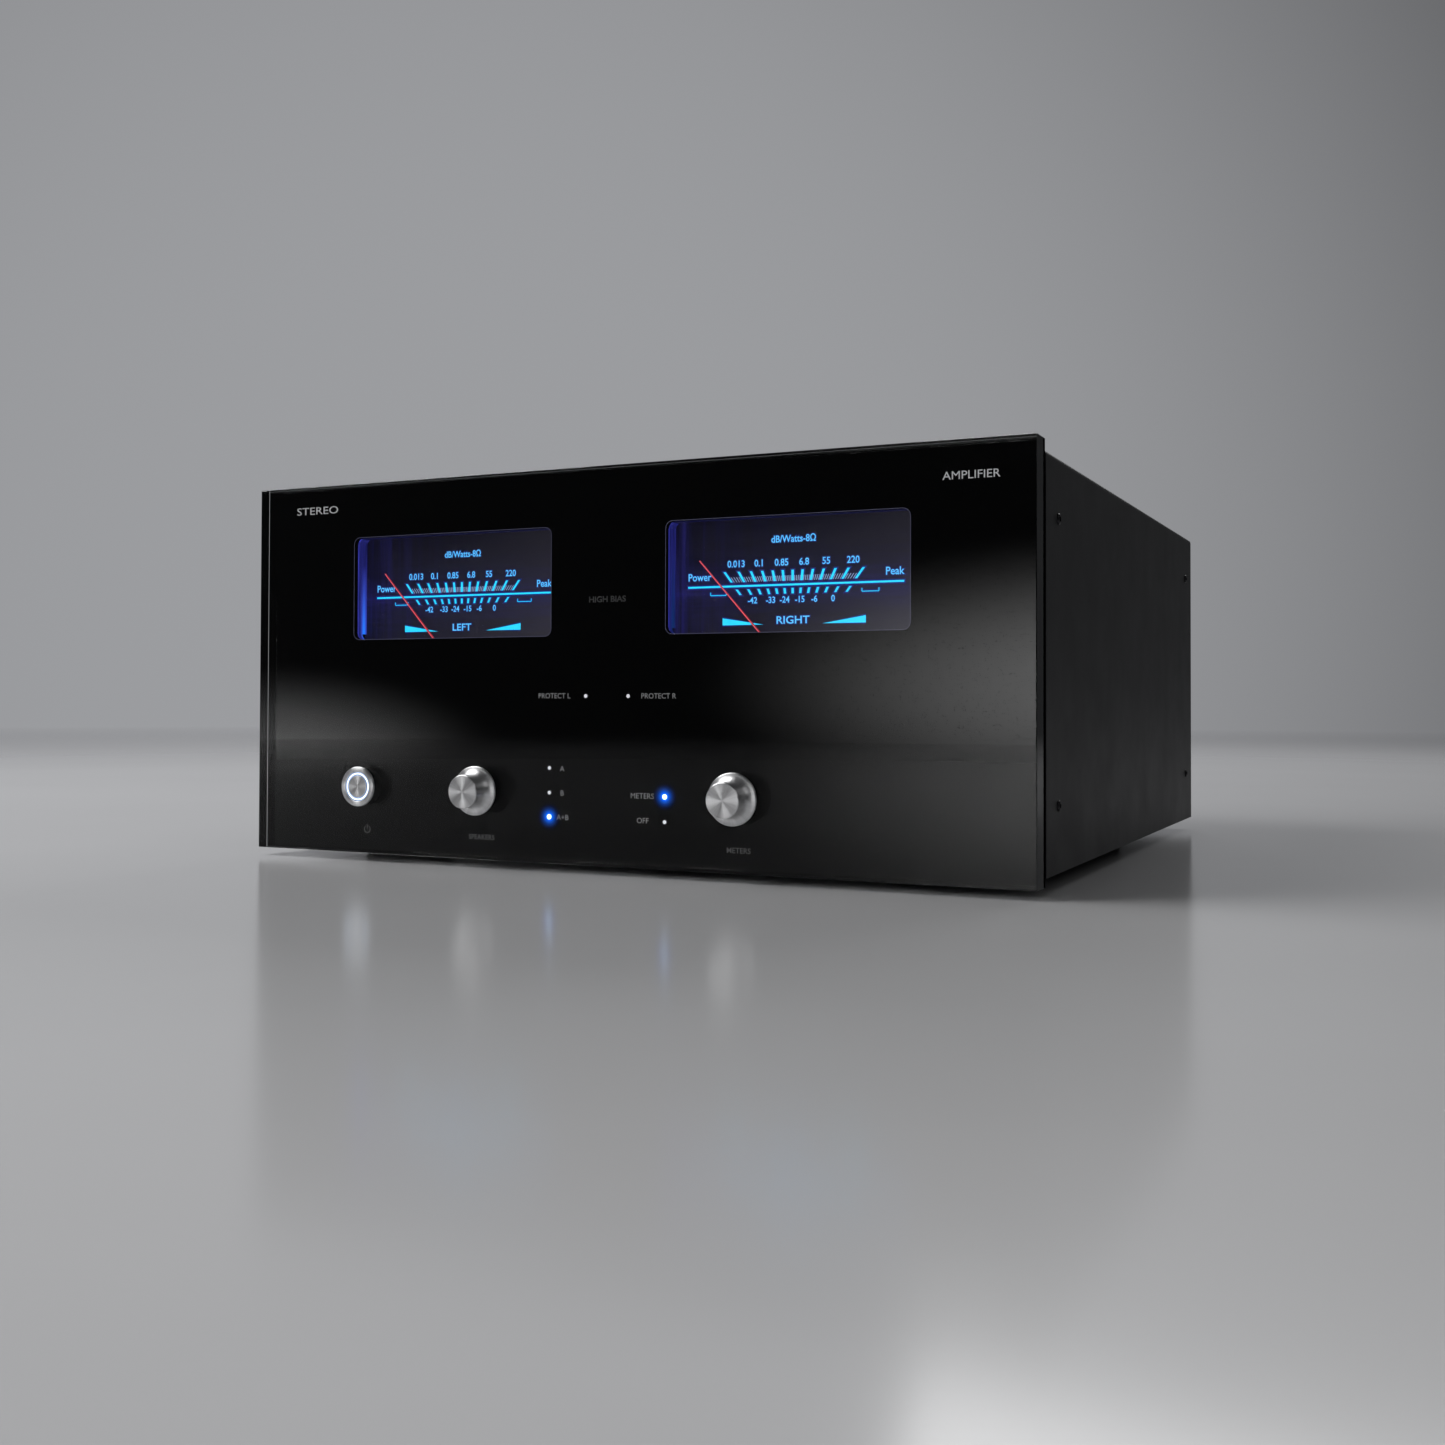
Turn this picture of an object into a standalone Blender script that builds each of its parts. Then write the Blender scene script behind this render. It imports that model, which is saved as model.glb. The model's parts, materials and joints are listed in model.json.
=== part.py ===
"""Stereo power amplifier with two needle meters behind a thick clear front plate.

X runs to the right as seen from the front, Y from front to back and Z up. The origin is on
the surface that the feet stand on, under the middle of the object. Dimensions are written
in millimetres and the helper functions turn them into metres. A depth is a distance behind
the front face of the clear plate, so a piece that stands proud of it has a negative depth.
"""

import math

import bmesh
import bpy
from mathutils import Euler, Matrix, Vector

MM = 0.001
GAP = 0.3  # clearance between pieces that rest on each other

# Clear front plate and the black plate behind it
PANEL_HALF_WIDTH = 215.0
PANEL_BOTTOM = 4.0
PANEL_TOP = 200.0
GLASS_REAR = 11.7
BACKPLATE = (12.0, 15.0)
FRONT_FACE_Y = -226.25  # where depth 0 lies, so that the whole object is centred on Y = 0

# Sheet metal case
BULKHEAD = (19.3, 21.3)
COVER = (19.0, 435.0)
COVER_HALF_WIDTH = 214.5
COVER_BOTTOM = 7.4
COVER_TOP = 196.1
COVER_SHEET = 1.5
COVER_BEND = 2.5
VENT_X = 158.0
VENT_HALF_LENGTH = 38.0
VENT_WIDTH = 4.0
VENT_START = 80.0
VENT_PITCH = 14.0
VENT_ROWS = 20
TRAY = (21.6, 431.0)
TRAY_SHEET = 1.6
TRAY_FLANGE = 18.0
REAR_PANEL = (431.3, 433.3)
SHEET_HALF_WIDTH = COVER_HALF_WIDTH - COVER_SHEET - GAP
SHEET_TOP = COVER_TOP - COVER_SHEET - GAP
FLOOR = COVER_BOTTOM + TRAY_SHEET + GAP  # the height on which the inner pieces stand

# Meters
METER_X = 94.2
WINDOW_SIZE = (123.5, 54.6)
WINDOW_HEIGHT = 144.6
WINDOW_CORNER = 3.5
PIVOT_HEIGHT = 100.0
HOUSING_HALF = (65.0, 45.5)
HOUSING_HEIGHT = 132.0
HOUSING_DEPTH = (15.3, 47.0)
HOUSING_WALL = 1.5
DIAL = (23.3, 24.3)
NEEDLE = (19.9, 20.6)
NEEDLE_LENGTH = 71.0
NEEDLE_REST = -42.0  # degrees from upright, to the left

# Controls
POWER = (-146.3, 39.0)
POWER_BORE = 9.6
BEZEL_RADIUS = 10.5
BEZEL_BARREL = (7.8, 9.2)  # inner and outer radius
LIGHT_RING = (6.2, 7.5)
BUTTON_RADIUS = 5.85
SPEAKER = (-72.1, 38.8)
METER_SWITCH = (72.1, 38.8)
SHAFT_RADIUS = 3.0
SHAFT_CLEARANCE = 0.6
KNOB_FRONT = -12.0
SPEAKER_LIGHTS = [(-32.8, 51.0), (-32.8, 38.6), (-32.8, 26.5)]
METER_LIGHTS = [(32.3, 38.4), (32.3, 26.2)]
PROTECT_LIGHTS = [(-12.0, 87.1), (12.0, 87.1)]
LIGHT_RADIUS = 1.2

# Feet
FOOT_RADIUS = 24.0
FOOT_HEIGHT = 7.1
FOOT_X = 150.0
FOOT_DEPTHS = (50.0, 395.0)

# Rear of the case. A socket's body stands in a hole that is HOLE_SPARE wider and taller.
HOLE_SPARE = 1.2
INLET = (0.0, 49.0)
INLET_FLANGE = (52.0, 64.0)
INLET_BODY = (44.0, 56.0)
BLOCK_X = 128.0
BLOCK_HEIGHT = 62.0
BLOCK_FLANGE = (56.0, 58.0)
BLOCK_BODY = (44.0, 46.0)
TERMINAL_PITCH = (24.0, 26.0)
COLLAR_LENGTH = 5.0
STUD_RADIUS = 2.4
CAP_RADIUS = 7.2
LINE_INPUT = (0.0, 142.0)
LINE_FLANGE = (54.0, 24.0)
LINE_BODY = (44.0, 16.0)
LINE_PITCH = 22.0
BALANCED_X = 64.0
BALANCED_FLANGE = (26.0, 31.0)
BALANCED_RADIUS = 11.8
BIAS_SWITCH = (62.0, 92.0)
BIAS_TRAVEL = 5.0

# Inside
TRANSFORMER_DEPTH = 128.0
TRANSFORMER_RADIUS = 76.0
TRANSFORMER_HEIGHT = 74.0
HEATSINK_START = 70.0
HEATSINK_X = (164.0, 206.0)
HEATSINK_BASE = 8.0
HEATSINK_HEIGHT = 120.0
FIN_COUNT = 14
FIN_PITCH = 20.0
FIN_THICKNESS = 3.0
BOARD_THICKNESS = 1.6
AMPLIFIER_BOARD = (82.0, 340.0)
POWER_SUPPLY_HALF_WIDTH = 105.0
POWER_SUPPLY = (222.0, 372.0)
CAPACITOR_X = 62.0
CAPACITOR_DEPTHS = (256.0, 332.0)
CAPACITOR_RADIUS = 25.0
CAPACITOR_HEIGHT = 86.0
INPUT_BOARD_HALF_WIDTH = 84.0
INPUT_BOARD_FRONT = 402.0
INPUT_BOARD_HEIGHT = (118.0, 172.0)

FINISHES = {
    "clear": ((0.9, 0.93, 0.95), 0.03, 0.0),
    "black_steel": ((0.012, 0.012, 0.013), 0.45, 0.0),
    "black_plastic": ((0.02, 0.02, 0.02), 0.5, 0.0),
    "rubber": ((0.015, 0.015, 0.015), 0.8, 0.0),
    "bare_steel": ((0.5, 0.5, 0.5), 0.4, 1.0),
    "aluminium": ((0.75, 0.75, 0.76), 0.3, 1.0),
    "black_aluminium": ((0.02, 0.02, 0.022), 0.5, 1.0),
    "lit_white": ((0.85, 0.9, 1.0), 0.4, 0.0),
    "dial": ((0.03, 0.02, 0.09), 0.5, 0.0),
    "red": ((0.8, 0.03, 0.02), 0.5, 0.0),
    "board": ((0.01, 0.08, 0.03), 0.5, 0.0),
    "sleeve": ((0.03, 0.03, 0.05), 0.35, 0.0),
    "winding_tape": ((0.5, 0.35, 0.05), 0.45, 0.0),
}

COLLECTION_NAME = "stereo_power_amplifier"


# ---------------------------------------------------------------- helpers


def clear_scene():
    for obj in list(bpy.data.objects):
        bpy.data.objects.remove(obj, do_unlink=True)


def new_collection(name):
    collection = bpy.data.collections.new(name)
    bpy.context.scene.collection.children.link(collection)
    return collection


def place(x, depth, height):
    """World position in metres of a point given by its X, its depth and its height."""
    return Vector((x, FRONT_FACE_Y + depth, height)) * MM


def dress(obj, finish):
    """Gives the object a material of its own with one of the finishes."""
    colour, roughness, metallic = FINISHES[finish]
    material = bpy.data.materials.new(obj.name)
    material.use_nodes = True
    shader = material.node_tree.nodes["Principled BSDF"]
    shader.inputs["Base Color"].default_value = (*colour, 1)
    shader.inputs["Roughness"].default_value = roughness
    shader.inputs["Metallic"].default_value = metallic
    material.diffuse_color = (*colour, 1)
    obj.data.materials.clear()
    obj.data.materials.append(material)


def add(name, mesh, finish):
    obj = bpy.data.objects.new(name, mesh)
    parts.objects.link(obj)
    dress(obj, finish)
    return obj


def as_helper(obj):
    """Turns an object into one that only cuts or joins others."""
    parts.objects.unlink(obj)
    helpers.objects.link(obj)
    obj.hide_render = True
    obj.display_type = "WIRE"
    return obj


def combine(obj, other, operation):
    modifier = obj.modifiers.new(operation.lower() + "_" + other.name, "BOOLEAN")
    modifier.operation = operation
    modifier.solver = "EXACT"
    modifier.object = as_helper(other)


def cut(obj, cutter):
    combine(obj, cutter, "DIFFERENCE")


def join(obj, other):
    combine(obj, other, "UNION")


def soften(obj, width, segments=2):
    """Rounds the sharp edges."""
    modifier = obj.modifiers.new("edges", "BEVEL")
    modifier.width = width * MM
    modifier.segments = segments
    modifier.limit_method = "ANGLE"
    modifier.angle_limit = math.radians(40)


def box(name, x, depth, height, finish):
    """A box from three (low, high) pairs."""
    middle = place(sum(x) / 2, sum(depth) / 2, sum(height) / 2)
    size = Vector((x[1] - x[0], depth[1] - depth[0], height[1] - height[0])) * MM
    mesh = bpy.data.meshes.new(name)
    work = bmesh.new()
    bmesh.ops.create_cube(work, size=1)
    bmesh.ops.scale(work, vec=size, verts=work.verts)
    work.to_mesh(mesh)
    work.free()
    obj = add(name, mesh, finish)
    obj.location = middle
    return obj


def slot_cutter(name, rows, height):
    """One cutter for many slots. Each row is a pair of (low, high) pairs: X and depth."""
    mesh = bpy.data.meshes.new(name)
    work = bmesh.new()
    for x, depth in rows:
        middle = place(sum(x) / 2, sum(depth) / 2, sum(height) / 2)
        size = Vector((x[1] - x[0], depth[1] - depth[0], height[1] - height[0])) * MM
        matrix = Matrix.Translation(middle) @ Matrix.Diagonal((*size, 1))
        bmesh.ops.create_cube(work, size=1, matrix=matrix)
    work.to_mesh(mesh)
    work.free()
    return add(name, mesh, "black_steel")


def rod(name, x, depth, height, radius, finish, sides=20):
    """A round bar along the depth, from depth[0] to depth[1]."""
    mesh = bpy.data.meshes.new(name)
    work = bmesh.new()
    bmesh.ops.create_cone(
        work,
        cap_ends=True,
        segments=sides,
        radius1=radius * MM,
        radius2=radius * MM,
        depth=(depth[1] - depth[0]) * MM,
    )
    work.to_mesh(mesh)
    work.free()
    mesh.shade_smooth()
    mesh.set_sharp_from_angle(angle=math.radians(35))
    obj = add(name, mesh, finish)
    obj.location = place(x, sum(depth) / 2, height)
    obj.rotation_euler = (math.radians(90), 0, 0)
    return obj


def turned(name, profile, location, rotation, steps, finish, ring=False):
    """A solid of revolution. The profile lists (radius, height) down its outer side."""
    points = [(radius * MM, 0, height * MM) for radius, height in profile]
    edges = [(i, i + 1) for i in range(len(points) - 1)]
    if ring:
        edges.append((len(points) - 1, 0))
    mesh = bpy.data.meshes.new(name)
    mesh.from_pydata(points, edges, [])
    obj = add(name, mesh, finish)
    obj.location = location
    obj.rotation_euler = rotation
    screw = obj.modifiers.new("turn", "SCREW")
    screw.steps = steps
    screw.render_steps = steps
    screw.use_merge_vertices = True
    screw.merge_threshold = 0.00001
    screw.use_smooth_shade = True
    return obj


def turned_along_depth(name, profile, x, height, steps, finish, ring=False):
    """A solid of revolution about a front-to-back axis. The profile lists (depth, radius)
    from the front, along the outer side, to the rear."""
    start = profile[0][0]
    down = [(radius, depth - start) for depth, radius in reversed(profile)]
    axis_along_depth = Euler((math.radians(-90), 0, 0))
    location = place(x, start, height)
    return turned(name, down, location, axis_along_depth, steps, finish, ring)


def turned_upright(name, profile, x, depth, height, steps, finish, ring=False):
    """A solid of revolution about a vertical axis. The profile lists (radius, height)
    from the top, down the outer side, to the bottom."""
    return turned(name, profile, place(x, depth, height), Euler(), steps, finish, ring)


def sheet(name, outlines, location, rotation, thickness, finish):
    """A flat piece: outlines[0] is its edge, and the others are holes."""
    curve = bpy.data.curves.new(name, "CURVE")
    curve.dimensions = "2D"
    curve.fill_mode = "BOTH"
    curve.extrude = thickness / 2 * MM
    for outline in outlines:
        spline = curve.splines.new("POLY")
        spline.points.add(len(outline) - 1)
        for point, (a, b) in zip(spline.points, outline):
            point.co = (a * MM, b * MM, 0, 1)
        spline.use_cyclic_u = True
    guide = bpy.data.objects.new(name + "_outline", curve)
    helpers.objects.link(guide)
    guide.location = location
    guide.rotation_euler = rotation
    bpy.context.view_layer.update()
    graph = bpy.context.evaluated_depsgraph_get()
    mesh = bpy.data.meshes.new_from_object(guide.evaluated_get(graph))
    work = bmesh.new()
    work.from_mesh(mesh)
    bmesh.ops.remove_doubles(work, verts=work.verts, dist=0.00001)
    bmesh.ops.recalc_face_normals(work, faces=work.faces)
    work.to_mesh(mesh)
    work.free()
    obj = add(name, mesh, finish)
    obj.matrix_world = guide.matrix_world
    bpy.data.objects.remove(guide, do_unlink=True)
    return obj


def front_sheet(name, outlines, depth, finish):
    """A sheet parallel to the front. Its outlines are in X and height."""
    upright = Euler((math.radians(90), 0, 0))
    middle = place(0, sum(depth) / 2, 0)
    return sheet(name, outlines, middle, upright, depth[1] - depth[0], finish)


def level_sheet(name, outlines, height, finish):
    """A level sheet. Its outlines are in X and depth."""
    middle = place(0, 0, sum(height) / 2)
    return sheet(name, outlines, middle, Euler(), height[1] - height[0], finish)


def side_sheet(name, outlines, x, finish):
    """A sheet parallel to the sides. Its outlines are in depth and height."""
    sideways = Euler((math.radians(90), 0, math.radians(90)))
    middle = place(sum(x) / 2, 0, 0)
    return sheet(name, outlines, middle, sideways, x[1] - x[0], finish)


def rectangle(a, b):
    """The outline between two (low, high) pairs."""
    return [(a[0], b[0]), (a[1], b[0]), (a[1], b[1]), (a[0], b[1])]


def rectangle_about(centre, size):
    return rectangle(
        (centre[0] - size[0] / 2, centre[0] + size[0] / 2),
        (centre[1] - size[1] / 2, centre[1] + size[1] / 2),
    )


def box_about(name, centre, size, depth, finish):
    """A box with this width and height about a point of the front or the rear."""
    x = (centre[0] - size[0] / 2, centre[0] + size[0] / 2)
    height = (centre[1] - size[1] / 2, centre[1] + size[1] / 2)
    return box(name, x, depth, height, finish)


def arc(centre, radius, start, end, steps):
    """Points from one angle to another, in degrees."""
    angles = [math.radians(start + (end - start) * i / steps) for i in range(steps + 1)]
    return [(centre[0] + radius * math.cos(t), centre[1] + radius * math.sin(t)) for t in angles]


def circle(centre, radius, sides=20):
    return arc(centre, radius, 0, 360, sides)[:-1]


def rounded_rectangle(centre, size, radius, steps=3):
    """A rectangle of this size with its corners rounded."""
    half_a = size[0] / 2 - radius
    half_b = size[1] / 2 - radius
    corners = [(half_a, half_b, 0), (-half_a, half_b, 90), (-half_a, -half_b, 180), (half_a, -half_b, 270)]
    points = []
    for a, b, start in corners:
        points += arc((centre[0] + a, centre[1] + b), radius, start, start + 90, steps)
    return points


# ---------------------------------------------------------------- front


def front_outline():
    return rectangle((-PANEL_HALF_WIDTH, PANEL_HALF_WIDTH), (PANEL_BOTTOM, PANEL_TOP))


def control_holes():
    """The holes for the power button and the two shafts, which go through every front sheet."""
    shaft_holes = [circle(control, SHAFT_RADIUS + SHAFT_CLEARANCE) for control in (SPEAKER, METER_SWITCH)]
    return [circle(POWER, POWER_BORE, 24)] + shaft_holes


def make_front_glass():
    glass = front_sheet("front_glass", [front_outline()] + control_holes(), (0, GLASS_REAR), "clear")
    soften(glass, 0.5, 1)


def make_front_backplate():
    """The black plate behind the glass, open at the meters and drilled for the lights."""
    outlines = [front_outline()] + control_holes()
    for side in (-1, 1):
        outlines.append(rounded_rectangle((side * METER_X, WINDOW_HEIGHT), WINDOW_SIZE, WINDOW_CORNER))
    for light in SPEAKER_LIGHTS + METER_LIGHTS + PROTECT_LIGHTS:
        outlines.append(circle(light, LIGHT_RADIUS + GAP, 12))
    front_sheet("front_backplate", outlines, BACKPLATE, "black_aluminium")


def make_light_guide(name, lights, bar_x, bar_height):
    """A clear bar behind the backplate, with a pin through it for each light."""
    bar_front = BACKPLATE[1] + GAP
    guide = box(name, bar_x, (bar_front, bar_front + 1.7), bar_height, "lit_white")
    pin_depth = (BACKPLATE[0], bar_front + 0.8)
    for number, (x, height) in enumerate(lights, 1):
        join(guide, rod(f"{name}_pin_{number}", x, pin_depth, height, LIGHT_RADIUS, "lit_white", 12))


def make_front_lights():
    make_light_guide("speaker_light_guide", SPEAKER_LIGHTS, (-36.0, -29.5), (22.0, 55.5))
    make_light_guide("meter_light_guide", METER_LIGHTS, (29.0, 35.5), (22.0, 42.5))
    make_light_guide("protect_light_guide", PROTECT_LIGHTS, (-16.0, 16.0), (84.0, 90.2))
    wide, narrow, shoulder = 42.0, 22.0, 78.0
    outline = [
        (-wide, 18), (wide, 18), (wide, shoulder), (narrow, shoulder),
        (narrow, 95), (-narrow, 95), (-narrow, shoulder), (-wide, shoulder),
    ]
    front_sheet("front_lights_board", [outline], (17.4, 19.0), "board")


def make_power_button():
    """From the outside in: the bezel, the ring that lights up and the button."""
    x, height = POWER
    inner, outer = BEZEL_BARREL
    bezel = [
        (-1.7, inner + 0.4), (-1.7, BEZEL_RADIUS - 0.5), (-1.2, BEZEL_RADIUS), (-GAP, BEZEL_RADIUS),
        (-GAP, outer), (24.0, outer), (24.0, inner), (-1.3, inner),
    ]
    turned_along_depth("power_button_bezel", bezel, x, height, 28, "aluminium", ring=True)
    ring_inner, ring_outer = LIGHT_RING
    ring = [(-1.1, ring_inner), (-1.1, ring_outer), (8.0, ring_outer), (8.0, ring_inner)]
    turned_along_depth("power_light_ring", ring, x, height, 28, "lit_white", ring=True)
    stem = 2.5
    button = [
        (-1.5, 0), (-1.6, BUTTON_RADIUS - 0.55), (-1.1, BUTTON_RADIUS),
        (12.0, BUTTON_RADIUS), (12.0, stem), (30.0, stem), (30.0, 0),
    ]
    turned_along_depth("power_button", button, x, height, 28, "aluminium")
    bore = stem + 0.4
    body = [(33.0, 0), (33.0, bore), (24.4, bore), (24.4, outer), (44.0, outer), (44.0, 0)]
    turned_along_depth("power_switch_body", body, x, height, 20, "black_plastic")


def make_rotary_control(name, centre):
    """A stepped knob on its shaft, and the rotary switch that the shaft turns."""
    x, height = centre
    bore = SHAFT_RADIUS + 0.3
    knob = [
        (KNOB_FRONT, 0), (KNOB_FRONT, 8.0), (KNOB_FRONT + 0.5, 8.5),
        (-4.2, 8.5), (-2.4, 9.3), (-1.6, 11.0), (-1.4, 12.1), (-1.0, 12.5),
        (-0.4, 12.5), (-0.4, bore), (-8.0, bore), (-8.0, 0),
    ]
    turned_along_depth(name + "_knob", knob, x, height, 28, "aluminium")
    rod(name + "_shaft", x, (-7.7, 36.0), height, SHAFT_RADIUS, "bare_steel")
    body = [(37.0, 0), (37.0, bore), (21.6, bore), (21.6, 13.5), (40.0, 13.5), (40.0, 0)]
    turned_along_depth(name + "_switch_body", body, x, height, 20, "black_plastic")


# ---------------------------------------------------------------- meters


def make_meter(side_name, side):
    x = side * METER_X
    half_width, half_height = HOUSING_HALF
    width = (x - half_width, x + half_width)
    height = (HOUSING_HEIGHT - half_height, HOUSING_HEIGHT + half_height)
    housing = box(f"meter_housing_{side_name}", width, HOUSING_DEPTH, height, "black_plastic")
    inside_width = (width[0] + HOUSING_WALL, width[1] - HOUSING_WALL)
    inside_height = (height[0] + HOUSING_WALL, height[1] - HOUSING_WALL)
    inside_depth = (HOUSING_DEPTH[0] - 1, HOUSING_DEPTH[1] - HOUSING_WALL)
    cut(housing, box(f"meter_hollow_{side_name}", inside_width, inside_depth, inside_height, "black_plastic"))

    dial_width = (inside_width[0] + GAP, inside_width[1] - GAP)
    dial_height = (inside_height[0] + GAP, inside_height[1] - GAP)
    dial_outlines = [rectangle(dial_width, dial_height), circle((x, PIVOT_HEIGHT), 3.0, 16)]
    front_sheet(f"meter_dial_{side_name}", dial_outlines, DIAL, "dial")

    movement_width, movement_depth = (x - 18, x + 18), (DIAL[1] + GAP, 45.2)
    movement = box(f"meter_movement_{side_name}", movement_width, movement_depth, (89, 122), "black_plastic")
    cut(movement, rod(f"movement_bore_{side_name}", x, (20, 32), PIVOT_HEIGHT, 1.3, "black_plastic", 12))

    make_needle(side_name, x)


def make_needle(side_name, x):
    """A thin tapered arm with a hub, on an axle that turns in the movement."""
    tail = 9.0
    outline = [
        (-0.55, -tail), (0.55, -tail), (0.5, 0),
        (0.3, NEEDLE_LENGTH), (-0.3, NEEDLE_LENGTH), (-0.5, 0),
    ]
    upright = Euler((math.radians(90), 0, 0))
    pivot = place(x, sum(NEEDLE) / 2, PIVOT_HEIGHT)
    needle = sheet(f"meter_needle_{side_name}", [outline], pivot, upright, NEEDLE[1] - NEEDLE[0], "red")
    lean = Euler((0, math.radians(NEEDLE_REST), 0)).to_matrix()
    needle.rotation_euler = (lean @ upright.to_matrix()).to_euler()
    hub = [(19.2, 0), (19.2, 3.2), (19.6, 3.8), (21.6, 3.8), (21.6, 1.0), (30.0, 1.0), (30.0, 0)]
    join(needle, turned_along_depth(f"needle_hub_{side_name}", hub, x, PIVOT_HEIGHT, 16, "red"))


# ---------------------------------------------------------------- case


def make_bulkhead():
    """The inner front sheet: it carries the meters and the controls on four standoffs."""
    width = (-SHEET_HALF_WIDTH, SHEET_HALF_WIDTH)
    outlines = [rectangle(width, (FLOOR, SHEET_TOP))] + control_holes()
    bulkhead = front_sheet("inner_front_sheet", outlines, BULKHEAD, "black_steel")
    half_width, half_height = HOUSING_HALF[0] + 0.5, HOUSING_HALF[1] + 0.5
    height = (HOUSING_HEIGHT - half_height, HOUSING_HEIGHT + half_height)
    depth = (BULKHEAD[0] - 1, BULKHEAD[1] + 1)
    for side in (-1, 1):
        x = (side * METER_X - half_width, side * METER_X + half_width)
        cut(bulkhead, box(f"meter_opening_{side}", x, depth, height, "black_steel"))
    for x in (-195, 195):
        for height in (24, 182):
            standoff_depth = (BACKPLATE[1] + GAP, BULKHEAD[0] + 0.5)
            join(bulkhead, rod(f"standoff_{x}_{height}", x, standoff_depth, height, 4.0, "black_steel", 12))


def make_bottom_tray():
    """Folded sheet with a low flange along each side, slotted under the heat sinks."""
    low, high = COVER_BOTTOM, COVER_BOTTOM + TRAY_SHEET
    outer, inner = SHEET_HALF_WIDTH, SHEET_HALF_WIDTH - TRAY_SHEET
    top = low + TRAY_FLANGE
    outline = [
        (-outer, low), (outer, low), (outer, top), (inner, top),
        (inner, high), (-inner, high), (-inner, top), (-outer, top),
    ]
    tray = front_sheet("bottom_tray", [outline], TRAY, "black_steel")
    slots = []
    for middle in (-185, 185):
        for row in range(7):
            depth = 110 + row * 32
            slots.append(((middle - 16, middle + 16), (depth, depth + VENT_WIDTH)))
    cut(tray, slot_cutter("tray_slots", slots, (low - 1, high + 1)))


def make_top_cover():
    """One sheet folded down both sides, with a field of vent slots over each heat sink."""
    outer, inner = COVER_HALF_WIDTH, COVER_HALF_WIDTH - COVER_SHEET
    top = COVER_TOP
    bend = COVER_BEND
    inner_bend = bend - COVER_SHEET
    outline = [(-outer, COVER_BOTTOM)]
    outline += arc((-outer + bend, top - bend), bend, 180, 90, 4)
    outline += arc((outer - bend, top - bend), bend, 90, 0, 4)
    outline += [(outer, COVER_BOTTOM), (inner, COVER_BOTTOM)]
    outline += arc((inner - inner_bend, top - bend), inner_bend, 0, 90, 2)
    outline += arc((-inner + inner_bend, top - bend), inner_bend, 90, 180, 2)
    outline += [(-inner, COVER_BOTTOM)]
    cover = front_sheet("top_cover", [outline], COVER, "black_steel")
    slots = []
    for middle in (-VENT_X, VENT_X):
        width = (middle - VENT_HALF_LENGTH, middle + VENT_HALF_LENGTH)
        for row in range(VENT_ROWS):
            depth = VENT_START + row * VENT_PITCH
            slots.append((width, (depth, depth + VENT_WIDTH)))
    cut(cover, slot_cutter("cover_slots", slots, (top - COVER_SHEET - 1, top + 1)))


def panel_hole(centre, body):
    return rectangle_about(centre, (body[0] + HOLE_SPARE, body[1] + HOLE_SPARE))


def make_rear_panel():
    """The rear sheet, with a hole for the body of each socket."""
    width = (-SHEET_HALF_WIDTH, SHEET_HALF_WIDTH)
    outlines = [rectangle(width, (FLOOR, SHEET_TOP))]
    outlines.append(panel_hole(INLET, INLET_BODY))
    outlines.append(panel_hole(LINE_INPUT, LINE_BODY))
    outlines.append(rectangle_about(BIAS_SWITCH, (BIAS_TRAVEL + 4, 4)))
    for side in (-1, 1):
        outlines.append(panel_hole((side * BLOCK_X, BLOCK_HEIGHT), BLOCK_BODY))
        outlines.append(circle((side * BALANCED_X, LINE_INPUT[1]), BALANCED_RADIUS + 0.4, 24))
    front_sheet("rear_panel", outlines, REAR_PANEL, "black_steel")


def make_feet():
    radius, height = FOOT_RADIUS, FOOT_HEIGHT
    profile = [
        (0, height), (radius - 1.5, height), (radius, height - 0.9),
        (radius, 1.6), (radius - 1.4, 0), (0, 0),
    ]
    for name, depth in zip(("front", "rear"), FOOT_DEPTHS):
        for side_name, side in (("left", -1), ("right", 1)):
            turned_upright(f"foot_{name}_{side_name}", profile, side * FOOT_X, depth, 0, 28, "rubber")


# ---------------------------------------------------------------- rear sockets


def make_mains_inlet():
    """Inlet with a recess for the plug, a fuse drawer above it and a rocker on top."""
    x, height = INLET
    front = REAR_PANEL[1] + GAP
    face = front + 3
    inlet = box_about("mains_inlet", INLET, INLET_FLANGE, (front, face), "black_plastic")
    join(inlet, box_about("inlet_body", INLET, INLET_BODY, (400, front + 1), "black_plastic"))

    half_width, chamfer = 12.2, 4.5
    low, high = height - 24.5, height - 8.5
    recess = [
        (x - half_width, low), (x + half_width, low),
        (x + half_width, high - chamfer), (x + half_width - chamfer, high),
        (x - half_width + chamfer, high), (x - half_width, high - chamfer),
    ]
    rocker_centre = (x, height + 16.5)
    outside = face + 2
    cut(inlet, front_sheet("inlet_recess", [recess], (face - 17, outside), "black_plastic"))
    cut(inlet, box_about("drawer_pocket", INLET, (24, 9), (408, outside), "black_plastic"))
    cut(inlet, box_about("rocker_pocket", rocker_centre, (22, 16), (410, outside), "black_plastic"))

    drawer = box_about("fuse_drawer", INLET, (23.2, 8.2), (412, face + 1.2), "black_plastic")
    soften(drawer, 0.4, 1)
    make_mains_rocker(x, face - 1.5, rocker_centre[1])


def make_mains_rocker(x, axis_depth, axis_height):
    """A rocker pressed in at the top, on an axis across the object."""
    half_height, proud, middle, sunk, stem = 7.0, 3.2, 1.3, 0.4, 6.0
    outline = [(-stem, -3), (proud, -half_height), (middle, 0), (sunk, half_height), (-stem, 3)]
    outline = [(axis_depth + depth, axis_height + up) for depth, up in outline]
    rocker = side_sheet("mains_rocker", [outline], (x - 10.6, x + 10.6), "black_plastic")
    soften(rocker, 0.4, 1)


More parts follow.
